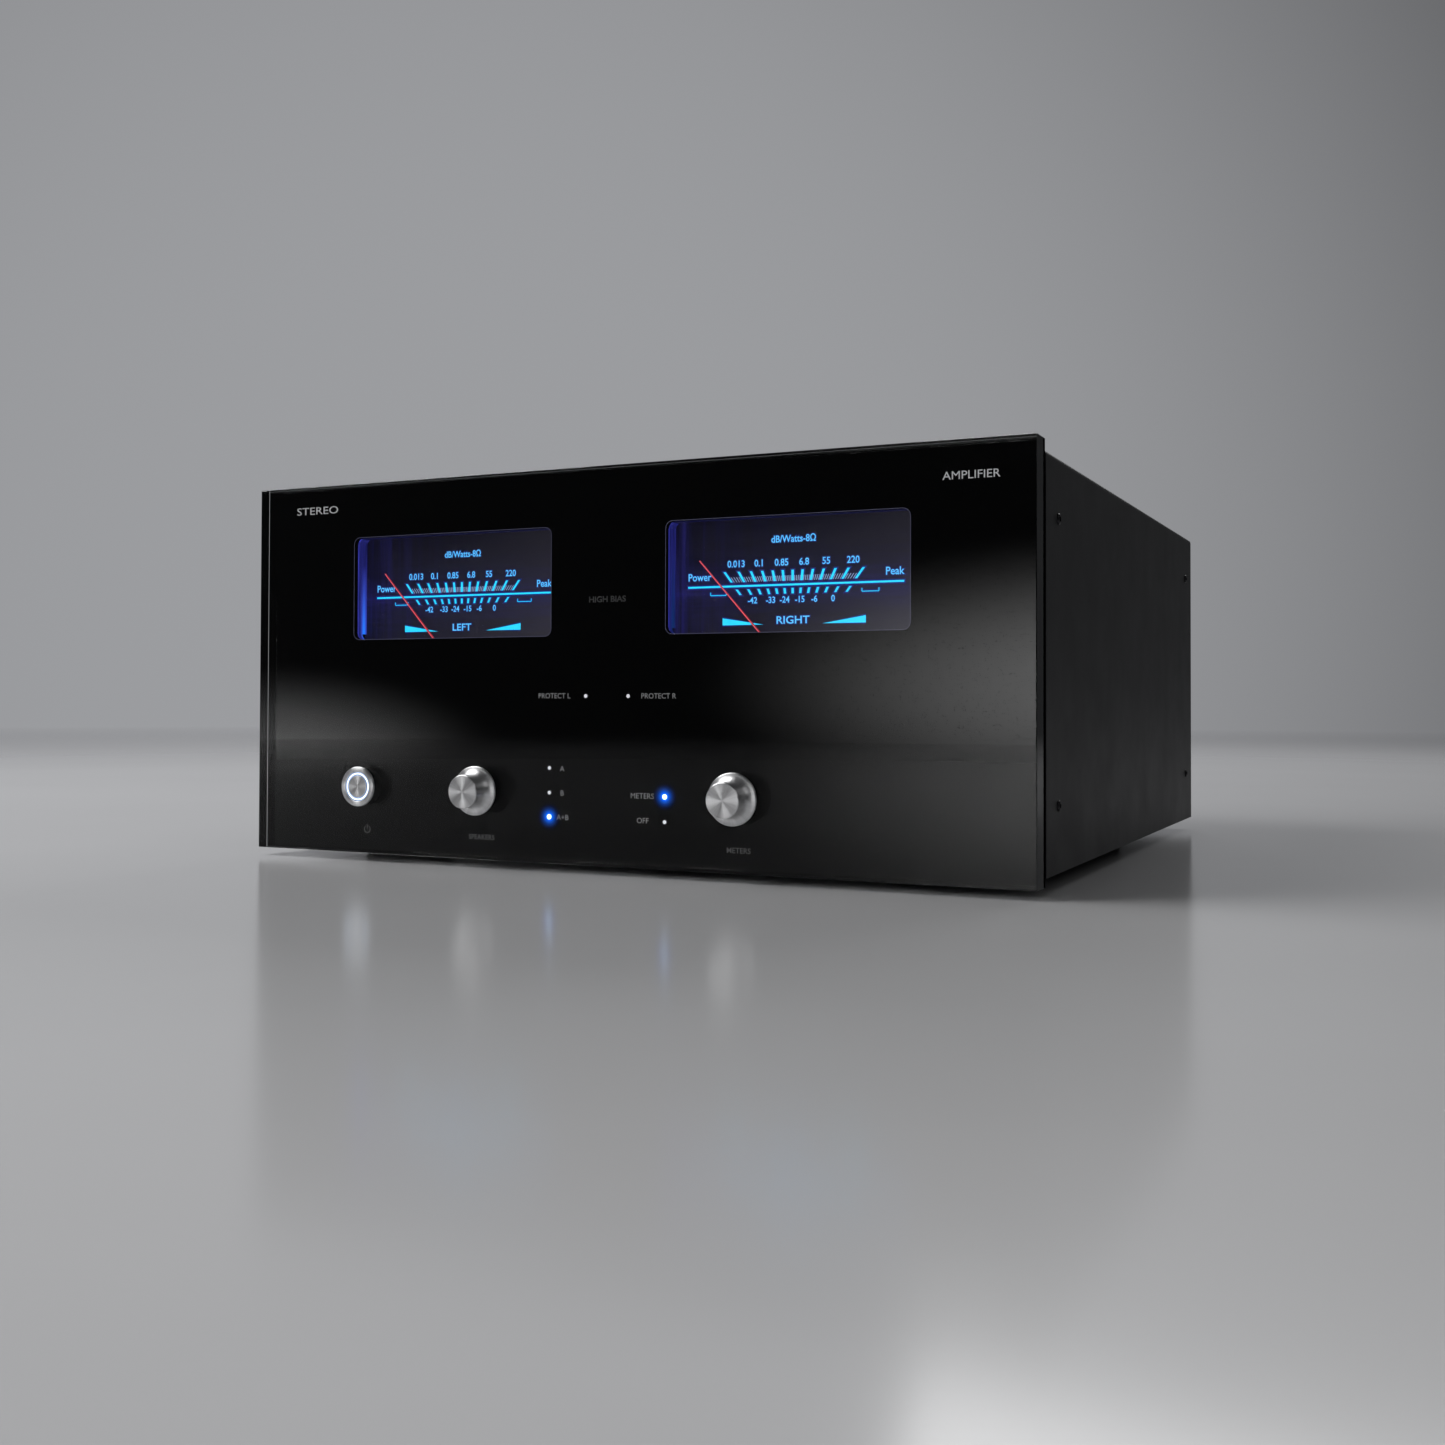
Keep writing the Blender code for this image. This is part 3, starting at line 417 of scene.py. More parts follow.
materials = {
    "cover": powder_coat("cover_coat", (0.0115, 0.0115, 0.012)),
    "sheet": powder_coat("sheet_coat", (0.016, 0.016, 0.017), 0.48),
    "rear": powder_coat("rear_coat", (0.018, 0.018, 0.019), 0.45),
    "back_print": back_print("back_print"),
    "glass": clear_plate("clear_plate"),
    "aluminium": spun_metal("turned_aluminium", (0.93, 0.93, 0.94)),
    "plastic": moulded("black_plastic", (0.016, 0.016, 0.017)),
    "gloss_plastic": moulded("gloss_plastic", (0.014, 0.014, 0.015), 0.25, 0.003),
    "inner_plastic": moulded("inner_plastic", (0.01, 0.01, 0.012), 0.6),
    "red_cap": moulded("red_cap", (0.42, 0.012, 0.012), 0.3, 0.004),
    "black_cap": moulded("black_cap", (0.012, 0.012, 0.013), 0.3, 0.004),
    "white_insert": moulded("white_insert", (0.6, 0.6, 0.58), 0.4, 0.004),
    "red_insert": moulded("red_insert", (0.5, 0.02, 0.02), 0.4, 0.004),
    "rubber": moulded("foot_rubber", (0.012, 0.012, 0.012), 0.72, 0.03, 1500),
    "screw": plated("black_screw", (0.03, 0.03, 0.032), 0.35),
    "gold": plated("gold_plate", (0.86, 0.6, 0.25)),
    "nickel": plated("nickel_plate", (0.66, 0.64, 0.6)),
    "steel": bare_metal("bare_steel", (0.5, 0.5, 0.51)),
    "heatsink": bare_metal("heatsink_aluminium", (0.42, 0.42, 0.43)),
    "board": circuit_board("circuit_board"),
    "tape": winding_tape("winding_tape"),
    "sleeve": moulded("capacitor_sleeve", (0.012, 0.014, 0.03), 0.3, 0.004),
    "print": printed("grey_print", (0.45, 0.45, 0.46), 0.42),
    "label_print": printed("label_print", (0.25, 0.25, 0.25), 0.24),
    "dim_print": printed("dim_print", (0.06, 0.06, 0.06), 0.075),
    "faint_print": printed("faint_print", (0.04, 0.04, 0.04), 0.03),
    "rear_print": Surface("rear_print", (0.55, 0.55, 0.55), 0.6).mottle(0.1, 300).material,
    # An unlit lamp has a painted glow of its own, standing for the light it catches.
    "lamp_off": lamp("lamp_off", (0.85, 0.85, 0.92), 0.72),
    "lamp_on": lamp("lamp_on", (0.62, 0.95, 1.0), 2.4),
    "ring_light": ring_lens("ring_light"),
    "dark_lens": moulded("dark_lens", (0.02, 0.02, 0.022), 0.25, 0.003),
    "halo": halo("lamp_halo", (0.0, 0.14, 1.0), 9.0),
    "scale": lamp("scale_print", (0.02, 0.68, 1.0), 1.1, (0.01, 0.05, 0.06)),
    "numbers": lamp("scale_numbers", (0.11, 0.56, 1.0), 1.1, (0.01, 0.05, 0.06)),
    "fine_ticks": lamp("scale_fine_ticks", (0.36, 0.48, 0.8), 0.8, (0.05, 0.05, 0.06)),
    "scale_near": lamp("scale_near_glow", (0.002, 0.03, 0.42), 0.75, (0.0, 0.0, 0.01)),
    "scale_far": lamp("scale_far_glow", (0.015, 0.015, 0.16), 0.7, (0.0, 0.0, 0.01)),
    # The needle has a painted red glow, and a painted highlight strip runs along its middle.
    "needle": Surface("needle_red", (0.3, 0.01, 0.02), 0.4).glow((0.3, 0.004, 0.016), 0.8).material,
    "needle_painted_highlight": lamp("needle_painted_highlight", (0.9, 0.16, 0.2), 1.0, (0.3, 0.05, 0.06)),
    "liner_left": lit_liner("liner_left", 1.0),
    "liner_right": lit_liner("liner_right", 0.0),
    # A painted glow along the window's edge, standing for the highlight on that edge.
    "window_rim_painted_glow": lamp("window_rim_painted_glow", (0.42, 0.42, 0.75), 0.13, (0.02, 0.02, 0.03)),
    "dial_left": dial_card("dial_card_left", "left"),
    "dial_right": dial_card("dial_card_right", "right"),
}


# ---------------------------------------------------------------- making pieces


def make_piece(name, work, place, rotation, material, slot, body="root", replaces=(), sharp=35):
    """Makes a piece of the finished bmesh, which is used up."""
    mesh = bpy.data.meshes.new(name)
    bmesh.ops.recalc_face_normals(work, faces=work.faces)
    work.to_mesh(mesh)
    work.free()
    mesh.shade_smooth()
    mesh.set_sharp_from_angle(angle=math.radians(sharp))
    obj = add_object(name, mesh, place, rotation)
    bpy.context.view_layer.update()
    mesh.materials.append(materials[material])
    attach(obj, body)
    if replaces:
        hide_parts(*replaces)


def lathe(work, profile, steps=96, offset=(0, 0), ring=False, knurl=None):
    """Turns (radius, height) points about the local Z axis, in millimetres.

    knurl is (lowest height, highest height, smallest radius, groove depth) of a straight knurl.
    """
    loops = []
    for radius, height in profile:
        if radius == 0:
            loops.append([work.verts.new((offset[0] * MM, offset[1] * MM, height * MM))])
            continue
        loop = []
        for step in range(steps):
            groove = 0.0
            if knurl and knurl[0] <= height <= knurl[1] and radius >= knurl[2] and step % 2:
                groove = knurl[3]
            turn = math.tau * step / steps
            x = offset[0] + (radius - groove) * math.cos(turn)
            y = offset[1] + (radius - groove) * math.sin(turn)
            loop.append(work.verts.new((x * MM, y * MM, height * MM)))
        loops.append(loop)
    pairs = list(zip(loops, loops[1:]))
    if ring:
        pairs.append((loops[-1], loops[0]))
    for first, second in pairs:
        for step in range(steps):
            after = (step + 1) % steps
            corners = [first[step % len(first)], first[after % len(first)]]
            corners += [second[after % len(second)], second[step % len(second)]]
            unique = list(dict.fromkeys(corners))
            if len(unique) > 2:
                work.faces.new(unique)


def block(work, x, y, z, bevel):
    """Adds a box between three (low, high) pairs of millimetres, with rounded edges."""
    centre = Vector((sum(x) / 2, sum(y) / 2, sum(z) / 2)) * MM
    size = Vector((x[1] - x[0], y[1] - y[0], z[1] - z[0])) * MM
    matrix = Matrix.Translation(centre) @ Matrix.Diagonal((*size, 1))
    made = bmesh.ops.create_cube(work, size=1, matrix=matrix)
    edges = list({edge for vert in made["verts"] for edge in vert.link_edges})
    bmesh.ops.bevel(work, geom=edges, offset=bevel * MM, segments=2, affect="EDGES", profile=0.5)


def prism(work, outline, low, high):
    """Adds a flat piece with this (x, y) outline between two heights, in millimetres."""
    base = [work.verts.new((x * MM, y * MM, low * MM)) for x, y in outline]
    made = bmesh.ops.extrude_face_region(work, geom=[work.faces.new(base)])
    lifted = [item for item in made["geom"] if isinstance(item, bmesh.types.BMVert)]
    bmesh.ops.translate(work, vec=(0, 0, (high - low) * MM), verts=lifted)


def stroke(start, end, width):
    """The outline of a straight line of this width."""
    along = (Vector(end) - Vector(start)).normalized() * width / 2
    across = Vector((-along.y, along.x))
    a, b = Vector(start), Vector(end)
    return [tuple(a + across), tuple(a - across), tuple(b - across), tuple(b + across)]


def turned_piece(name, profile, place, rotation, *looks, ring=False, steps=96):
    """looks: material and slot, and then the body and the nodes it replaces, if any."""
    work = bmesh.new()
    lathe(work, profile, steps, ring=ring)
    make_piece(name, work, place, rotation, *looks)


# ---------------------------------------------------------------- lettering

font_curve = bpy.data.curves.new("lettering", "FONT")
font_object = add_object("lettering", font_curve)
font_curve.resolution_u = 3
font_curve.align_x = "CENTER"
font_curve.align_y = "BOTTOM_BASELINE"
CAP_SHARE = 0.682  # height of a capital in the font, as a share of its size


def letters(work, text, x, y, cap_height, bold=0.0, thickness=0.02, widen=1.0):
    """Adds words with their middle at (x, y), facing local +Z. bold thickens their strokes."""
    font_curve.body = text
    font_curve.size = cap_height / CAP_SHARE * MM
    font_curve.offset = bold * MM
    font_curve.extrude = thickness / 2 * MM
    bpy.context.view_layer.update()
    graph = bpy.context.evaluated_depsgraph_get()
    mesh = bpy.data.meshes.new_from_object(font_object.evaluated_get(graph))
    shift = Vector((x, y - cap_height / 2, thickness / 2)) * MM
    mesh.transform(Matrix.Translation(shift) @ Matrix.Diagonal((widen, 1, 1, 1)))
    work.from_mesh(mesh)
    bpy.data.meshes.remove(mesh)


def print_words(name, words, depth, rotation, looks, **settings):
    """A printed piece whose words are rows of text, x, height and capitals' height."""
    work = bmesh.new()
    for text, x, height, cap in words:
        letters(work, text, x, height, cap, **settings)
    make_piece(name, work, at(0, depth, 0), rotation, *looks)


# ---------------------------------------------------------------- CAD pieces that stay


def paint_cad(material, *nodes):
    for node in nodes:
        obj = frame["nodes"][node]
        obj.data.materials.clear()
        obj.data.materials.append(materials[material])


SIDES = (("left", -1), ("right", 1))
paint_cad("glass", "front_glass")
paint_cad("back_print", "front_backplate")
paint_cad("cover", "top_cover")
paint_cad("sheet", "bottom_tray", "inner_front_sheet")
paint_cad("rear", "rear_panel")
paint_cad("dark_lens", "speaker_light_guide", "meter_light_guide", "protect_light_guide")
paint_cad("board", "front_lights_board", "power_supply_board", "input_board")
paint_cad("tape", "toroidal_transformer")
paint_cad("steel", "speaker_shaft", "meter_shaft")
paint_cad("inner_plastic", "power_switch_body", "speaker_switch_body", "meter_switch_body")
paint_cad("plastic", "mains_inlet", "line_input_sockets", "bias_switch", "fuse_drawer")
paint_cad("gloss_plastic", "mains_rocker")
for number in range(1, 5):
    paint_cad("sleeve", f"reservoir_capacitor_{number}")
for side, _ in SIDES:
    paint_cad("heatsink", f"heatsink_{side}")
    paint_cad("board", f"amplifier_board_{side}")
    paint_cad("inner_plastic", f"meter_housing_{side}", f"meter_movement_{side}")
    paint_cad(f"dial_{side}", f"meter_dial_{side}")
    paint_cad("needle", f"meter_needle_{side}")
    paint_cad("plastic", f"speaker_block_{side}", f"balanced_input_{side}")


# ---------------------------------------------------------------- meters

# Heights on a dial's card, and the needle's pivot, which lies below the window.
BASELINE = 140.1
TICK_FOOT, TICK_HEAD, MINOR_HEAD = 142.0, 147.1, 144.5
LOWER_TICK = (138.5, 135.9)
TICKS = 13
TICK_STEP = 6.18  # degrees between two long ticks
UPPER_NUMBERS = (("0.013", -29.4), ("0.1", -17.3), ("0.85", -5.7), ("6.8", 5.8), ("55", 17.0), ("220", 30.4))
LOWER_NUMBERS = (("-42", -20.8), ("-33", -11.3), ("-24", -4.1), ("-15", 3.7), ("-6", 11.0), ("0", 20.4))
PIVOT_HEIGHT = 100.0
NEEDLE_LENGTH, NEEDLE_REST = 71.0, -42  # degrees from upright
NEEDLE_ROOM = 0.75  # the liners are slotted from this far in front of the pivot's depth
WINDOW_SIZE, WINDOW_HEIGHT, WINDOW_CORNER = (123.5, 54.6), 144.6, 3.5
LINER_THICKNESS, LINER_GAP, RIM_WIDTH = 0.5, 0.3, 0.25
PRINT_DEPTH, LAMP_FACE = 11.98, 11.93  # at the back of the clear plate


def slanted(angle, foot, head, width):
    """A tick that points at the pivot, cut level at both ends."""
    lean = math.tan(math.radians(angle))
    low, high = lean * (foot - PIVOT_HEIGHT), lean * (head - PIVOT_HEIGHT)
    half = width / 2
    return [(low - half, foot), (low + half, foot), (high + half, head), (high - half, head)]


def scale_shapes(grow):
    """Outlines of all lines on a dial, each wider by grow on every side."""
    wide = 2 * grow
    shapes = [stroke((-55.2 - grow, BASELINE), (55.2 + grow, BASELINE), 0.9 + wide)]
    half = (TICKS - 1) / 2
    for number in range(TICKS):
        angle = (number - half) * TICK_STEP
        shapes.append(slanted(angle, TICK_FOOT - grow, TICK_HEAD + grow, 1.25 + wide))
        shapes.append(slanted(angle, LOWER_TICK[1] - grow, LOWER_TICK[0] + grow, 1.2 + wide))
    for side in (-1, 1):
        inner, outer, top, bottom = side * 34.7, side * 43.0, 137.5, 135.9
        shapes += [stroke((x, top), (x, bottom), 0.34 + wide) for x in (inner, outer)]
        shapes.append(stroke((inner, bottom), (outer, bottom), 0.34 + wide))
        edge, point = side * 36.6, side * (15.2 - grow)
        shapes.append([(edge, 124.8 + grow), (edge, 121.4 - grow), (point, 121.4)])
    return shapes


def fine_ticks():
    """Outlines of the short ticks between the long ones."""
    half = (TICKS - 1) / 2
    steps = [number / 5 - half for number in range((TICKS - 1) * 5) if number % 5]
    return [slanted(step * TICK_STEP, TICK_FOOT, MINOR_HEAD, 0.34) for step in steps]


def scale_words(work, centre, side, bold, thickness):
    words = [("dB/Watts-8Ω", 0.4, 162.0, 3.2, 0.9)]
    words += [(text, x, 150.9, 3.15, 0.92) for text, x in UPPER_NUMBERS]
    words += [(text, x, 133.1, 2.9, 0.9) for text, x in LOWER_NUMBERS]
    words += [("Power", -49.0, 145.0, 3.5, 0.92), ("Peak", 50.6, 145.0, 3.5, 0.92)]
    words += [(side.upper(), 0.0, 123.4, 3.5, 1.15)]
    for text, x, height, cap, widen in words:
        letters(work, text, centre + x, height, cap, bold, thickness, widen)


def rounded_outline(centre, size, radius, steps=5):
    points = []
    for turn, (a, b) in enumerate(((1, 1), (-1, 1), (-1, -1), (1, -1))):
        for step in range(steps + 1):
            angle = math.radians(90 * (turn + step / steps))
            points.append((
                centre[0] + a * (size[0] / 2 - radius) + radius * math.cos(angle),
                centre[1] + b * (size[1] / 2 - radius) + radius * math.sin(angle),
            ))
    return points


def add_liner(work, inner, outer, front, slot, rear):
    """Adds a wall round a window, between two outlines that start at the top right corner.

    Behind the slot's depth it has no bottom, so that the needle can pass.
    """
    count = len(inner)
    walled = [step == count - 1 or step < count // 2 for step in range(count)]
    kept = [walled[step] or walled[step - 1] for step in range(count)]

    def loop(outline, depth, wanted):
        points = zip(outline, wanted)
        return [work.verts.new((x * MM, y * MM, -depth * MM)) if keep else None for (x, y), keep in points]

    everywhere = [True] * count
    rows = ((front, everywhere), (slot, everywhere), (rear, kept))
    inner_front, inner_slot, inner_rear = [loop(inner, depth, wanted) for depth, wanted in rows]
    outer_front, outer_slot, outer_rear = [loop(outer, depth, wanted) for depth, wanted in rows]
    for step in range(count):
        after = (step + 1) % count
        strips = [(inner_front, inner_slot), (outer_front, outer_slot), (inner_front, outer_front)]
        if walled[step]:
            strips += [(inner_slot, inner_rear), (outer_slot, outer_rear), (inner_rear, outer_rear)]
        else:
            strips.append((inner_slot, outer_slot))
        for first, second in strips:
            work.faces.new((first[step], first[after], second[after], second[step]))
    for end in (count - 1, count // 2):
        work.faces.new((inner_slot[end], outer_slot[end], outer_rear[end], inner_rear[end]))


def add_band(work, inner, outer, low, high):
    """Adds a flat band between two outlines with the same number of points."""
    loops = []
    for outline, height in ((inner, low), (outer, low), (outer, high), (inner, high)):
        loops.append([work.verts.new((x * MM, y * MM, height * MM)) for x, y in outline])
    for first, second in zip(loops, loops[1:] + loops[:1]):
        for step in range(len(inner)):
            after = (step + 1) % len(inner)
            work.faces.new((first[step], first[after], second[after], second[step]))


def make_dial_print(side, centre, card):
    """The scale, in layers from its glow on the card up to its sharp lines and words."""
    layers = (
        ("scale", scale_shapes(0.0), None, 0.07), ("fine_ticks", fine_ticks(), None, 0.07),
        ("numbers", [], 0.05, 0.07), ("scale_near", scale_shapes(0.28), 0.2, 0.05),
        ("scale_far", scale_shapes(0.75), 0.5, 0.03),
    )
    for material, shapes, bold, proud in layers:
        work = bmesh.new()
        for outline in shapes:
            prism(work, [(x + centre, y) for x, y in outline], 0.0, proud)
        if bold is not None:
            scale_words(work, centre, side, bold, proud)
        make_piece(f"dial_{material}_{side}", work, at(0, card, 0), TO_FRONT, material, "dial_face")


def make_meter(side, centre):
    card = span(f"meter_dial_{side}")[1][0]
    make_dial_print(side, centre, card)

    def window(grow, rounder=0.0):
        """The window's outline, moved out by grow."""
        size = [length + 2 * grow for length in WINDOW_SIZE]
        return rounded_outline((centre, WINDOW_HEIGHT), size, WINDOW_CORNER + rounder)

    joint = next(j for j in frame["joints"] if j["name"] == f"needle_{side}_swing")
    pivot = Vector(joint["pos_m"])
    work = bmesh.new()
    outer = window(LINER_GAP + LINER_THICKNESS, LINER_THICKNESS)
    liner_front = span("front_backplate")[1][1] + 0.1
    add_liner(work, window(LINER_GAP), outer, liner_front, depth_of(pivot.y) - NEEDLE_ROOM, card - 0.2)
    make_piece(f"window_liner_{side}", work, at(0, 0, 0), TO_FRONT, f"liner_{side}", "light_guide")

    # A thin band round the window at the back of the plate carries a painted highlight of the window's edge.
    work = bmesh.new()
    add_band(work, window(0), window(RIM_WIDTH, RIM_WIDTH), 0.0, 0.02)
    place = at(0, PRINT_DEPTH, 0)
    make_piece(f"window_rim_painted_glow_{side}", work, place, TO_FRONT, "window_rim_painted_glow", "black_backplate")

    lean = math.radians(NEEDLE_REST)
    work = bmesh.new()
    tip = (NEEDLE_LENGTH * math.sin(lean), NEEDLE_LENGTH * math.cos(lean))
    # A thin strip just in front of the needle carries its painted highlight.
    prism(work, stroke((0, 0), tip, 0.26), 0.36, 0.42)
    make_piece(f"needle_painted_highlight_{side}", work, pivot, TO_FRONT, "needle_painted_highlight", "needle_red", f"needle_{side}")


for side, _ in SIDES:
    make_meter(side, middle(f"meter_dial_{side}")[0])


def circle_outline(centre, radius, steps):
    turns = [math.tau * step / steps for step in range(steps)]
    return [(centre[0] + radius * math.cos(turn), centre[1] + radius * math.sin(turn)) for turn in turns]


def pierced_sheet(outlines, thickness):
    """A mesh of a flat sheet: the first outline is its rim and the others are holes."""
    curve = bpy.data.curves.new("outline", "CURVE")
    curve.dimensions = "2D"
    curve.fill_mode = "BOTH"
    curve.extrude = thickness / 2 * MM
    for outline in outlines:
        spline = curve.splines.new("POLY")
        spline.points.add(len(outline) - 1)
        for point, (x, y) in zip(spline.points, outline):
            point.co = (x * MM, y * MM, 0, 1)
        spline.use_cyclic_u = True
    holder = add_object("outline", curve)
    bpy.context.view_layer.update()
    mesh = bpy.data.meshes.new_from_object(holder.evaluated_get(bpy.context.evaluated_depsgraph_get()))
    work = bmesh.new()
    work.from_mesh(mesh)
    bmesh.ops.remove_doubles(work, verts=work.verts, dist=1e-6)
    bmesh.ops.translate(work, vec=(0, 0, -thickness / 2 * MM), verts=work.verts)
    bpy.data.objects.remove(holder)
    bpy.data.curves.remove(curve)
    bpy.data.meshes.remove(mesh)
    return work


BORE_RADIUS, SHAFT_BORE_RADIUS = 9.3, 3.6
PLATE_BEVEL = 0.35
button_centre = middle("power_button")[0], middle("power_button")[2]


def make_clear_plate():
    """The clear plate, with polished bevels round its front, and its bores."""
    x, depth, height = span("front_glass")
    rim = [(x[0], height[0]), (x[1], height[0]), (x[1], height[1]), (x[0], height[1])]
    holes = [circle_outline(button_centre, BORE_RADIUS, 96)]
    for node in ("speaker_knob", "meter_knob"):
        knob_x, _, knob_height = middle(node)
        holes.append(circle_outline((knob_x, knob_height), SHAFT_BORE_RADIUS, 48))
    work = pierced_sheet([rim, *holes], depth[1] - depth[0])
    half_width = (x[1] - x[0]) / 2 * MM
    front_rim = []
    for edge in work.edges:
        in_front = all(vert.co.z > -1e-6 for vert in edge.verts)
        if in_front and all(
            abs(abs(vert.co.x) - half_width) < 1e-6 or min(abs(vert.co.y - h * MM) for h in height) < 1e-6
            for vert in edge.verts
        ) and len(edge.link_faces) == 2 and edge.calc_face_angle() > 1:
            front_rim.append(edge)
    bmesh.ops.bevel(work, geom=front_rim, offset=PLATE_BEVEL * MM, segments=3, affect="EDGES", profile=0.5)
    # The sharp angle is below the bevel's own steps, so that the large face stays truly flat.
    looks = ("glass", "clear_plate", "root", ("front_glass",))
    make_piece("clear_plate", work, at(0, depth[0], 0), TO_FRONT, *looks, sharp=12)


make_clear_plate()


# ---------------------------------------------------------------- front legends and lamps

LAMPS = (  # X, height and whether it is lit
    (-32.8, 51.0, False), (-32.8, 38.6, False), (-32.8, 26.5, True), (32.3, 38.4, True), (32.3, 26.2, False),
    (-12.0, 87.1, False), (12.0, 87.1, False),
)
LAMP_RADIUS = 0.95
POWER_ICON = (-146.2, 15.9, 1.9)  # X, height and radius

LEGENDS = (
    ("PROTECT L", -30.2, 87.2, 2.5), ("PROTECT R", 28.7, 87.2, 2.5),
    ("A", -25.4, 50.8, 2.6), ("B", -25.4, 38.6, 2.6), ("A+B", -25.0, 26.5, 2.6),
    ("METERS", 20.0, 38.5, 2.6), ("OFF", 20.3, 26.5, 2.6),
)
print_words("front_legends", LEGENDS, PRINT_DEPTH, TO_FRONT, ("label_print", "black_backplate"))

work = bmesh.new()
letters(work, "STEREO", -181.4, 188.0, 3.9, widen=1.45)
letters(work, "AMPLIFIER", 184.0, 185.3, 3.6, widen=1.1)
make_piece("front_names", work, at(0, PRINT_DEPTH, 0), TO_FRONT, "print", "black_backplate")

faint = (("HIGH BIAS", 0.0, 135.0, 2.8),)
looks = ("faint_print", "black_backplate")
print_words("front_faint_legend", faint, PRINT_DEPTH, TO_FRONT, looks, bold=0.1, widen=1.1)

work = bmesh.new()
letters(work, "SPEAKERS", -73.3, 14.7, 2.5, 0.04)
letters(work, "METERS", 71.6, 14.2, 2.5, 0.04)
icon_x, icon_height, icon_radius = POWER_ICON
turns = [math.radians(125 + 290 * step / 22) for step in range(23)]
arc = [(icon_x + icon_radius * math.cos(t), icon_height + icon_radius * math.sin(t)) for t in turns]
for start, end in zip(arc, arc[1:]):
    prism(work, stroke(start, end, 0.4), 0, 0.02)
prism(work, stroke((icon_x, icon_height + 0.2), (icon_x, icon_height + 2.6), 0.4), 0, 0.02)
make_piece("front_dim_legends", work, at(0, PRINT_DEPTH, 0), TO_FRONT, "dim_print", "black_backplate")

for number, (x, height, lit) in enumerate(LAMPS, 1):
    radius = LAMP_RADIUS * (1.35 if lit else 1.0)
    dome = [(0, 0.16), (radius * 0.6, 0.12), (radius * 0.9, 0.04), (radius, 0)]
    looks = ("lamp_on" if lit else "lamp_off", "light_guide")
    turned_piece(f"front_lamp_{number}", dome, at(x, LAMP_FACE, height), TO_FRONT, *looks, steps=32)
    if lit:
        glow = [(radius + 0.02, 0.02)] + [(r, 0.02) for r in (2, 3, 4.5, 6, 7.5, 9)]
        place = at(x, PRINT_DEPTH, height)
        turned_piece(f"lamp_halo_{number}", glow, place, TO_FRONT, "halo", "black_backplate", steps=48)


# ---------------------------------------------------------------- controls


TURNED = ("aluminium", "turned_aluminium")


def make_knob(name, node, body):
    """Turned knob: a chamfered drum that flares into a flange with a fine groove."""
    x, _, height = middle(node)
    front = span(node)[1][0]
    drum, flange = 8.5, 12.5
    flare = [math.radians(90 * step / 12) for step in range(13)]
    profile = [(0, -front), (drum - 0.42, -front), (drum, -front - 0.42)]
    profile += [(drum + 3.3 * (1 - math.cos(t)), 1.75 + 3.6 * (1 - math.sin(t))) for t in flare]
    profile += [
        (11.95, 1.72), (12.0, 1.6), (12.08, 1.72), (12.2, 1.68), (flange, 1.4), (flange, 0.5), (12.4, 0.42),
        (3.3, 0.42), (3.3, 7.9), (0, 7.9),
    ]
    turned_piece(name, profile, at(x, 0, height), TO_FRONT, *TURNED, body, (node,), steps=128)


make_knob("speaker_knob_turned", "speaker_knob", "speaker_selector")
make_knob("meter_knob_turned", "meter_knob", "meter_selector")

button_place = at(button_centre[0], 0, button_centre[1])
bezel = [
    (7.95, 1.62), (8.2, 1.7), (10.0, 1.7), (10.35, 1.5), (10.5, 1.1), (10.5, 0.3), (7.8, 0.3), (7.8, 1.4),
]
plate_rear, bore = span("front_glass")[1][1], BORE_RADIUS + 0.2
barrel = [
    (7.8, 0.28), (9.2, 0.28), (9.2, -0.3), (bore, -0.4), (bore, -plate_rear + 0.1),
    (9.2, -plate_rear), (9.2, -24), (7.8, -24),
]
turned_piece("bezel_barrel", barrel, button_place, TO_FRONT, "back_print", "black_plastic", ring=True)
looks = (*TURNED, "root", ("power_button_bezel",))
turned_piece("bezel_turned", bezel, button_place, TO_FRONT, *looks, ring=True, steps=128)
ring = [(6.2, 1.0), (6.45, 1.12), (7.3, 1.12), (7.5, 1.0), (7.5, -8), (6.2, -8)]
looks = ("ring_light", "lit_ring", "root", ("power_light_ring",))
turned_piece("ring_lens", ring, button_place, TO_FRONT, *looks, ring=True, steps=128)
cap = [
    (0, 1.42), (3.0, 1.44), (5.2, 1.55), (5.65, 1.5), (5.85, 1.2),
    (5.85, -12), (2.5, -12), (2.5, -30), (0, -30),
]
looks = (*TURNED, "power_button", ("power_button",))
turned_piece("power_button_turned", cap, button_place, TO_FRONT, *looks, steps=128)


# ---------------------------------------------------------------- case


def socket_screw(name, place, rotation, head=2.6, height=0.9, socket=1.25):
    """Button-head screw with a hexagon socket. Local Z points out of the surface."""
    work = bmesh.new()
    profile = [
        (0, height - 1.1), (socket, height - 1.1), (socket, height - 0.05), (socket + 0.25, height),
        (head * 0.72, height * 0.93), (head * 0.93, height * 0.6), (head, 0.25), (head, 0.0),
        (1.2, 0.0), (1.2, -2.2), (0, -2.2),
    ]
    lathe(work, profile, 36)
    make_piece(name, work, place, rotation, "screw", "bare_steel")


cover_x, cover_depth, _ = span("top_cover")
for side, sign in SIDES:
    sideways = Euler((0, math.radians(90 * sign), 0))
    edge = cover_x[1] if sign > 0 else cover_x[0]
    for row, height in (("low", 37.9), ("high", 167.7)):
        for end, depth in (("front", 42.5), ("rear", cover_depth[1] - 24)):
            place = at(edge + sign * 0.05, depth, height)
            socket_screw(f"cover_screw_{side}_{row}_{end}", place, sideways)

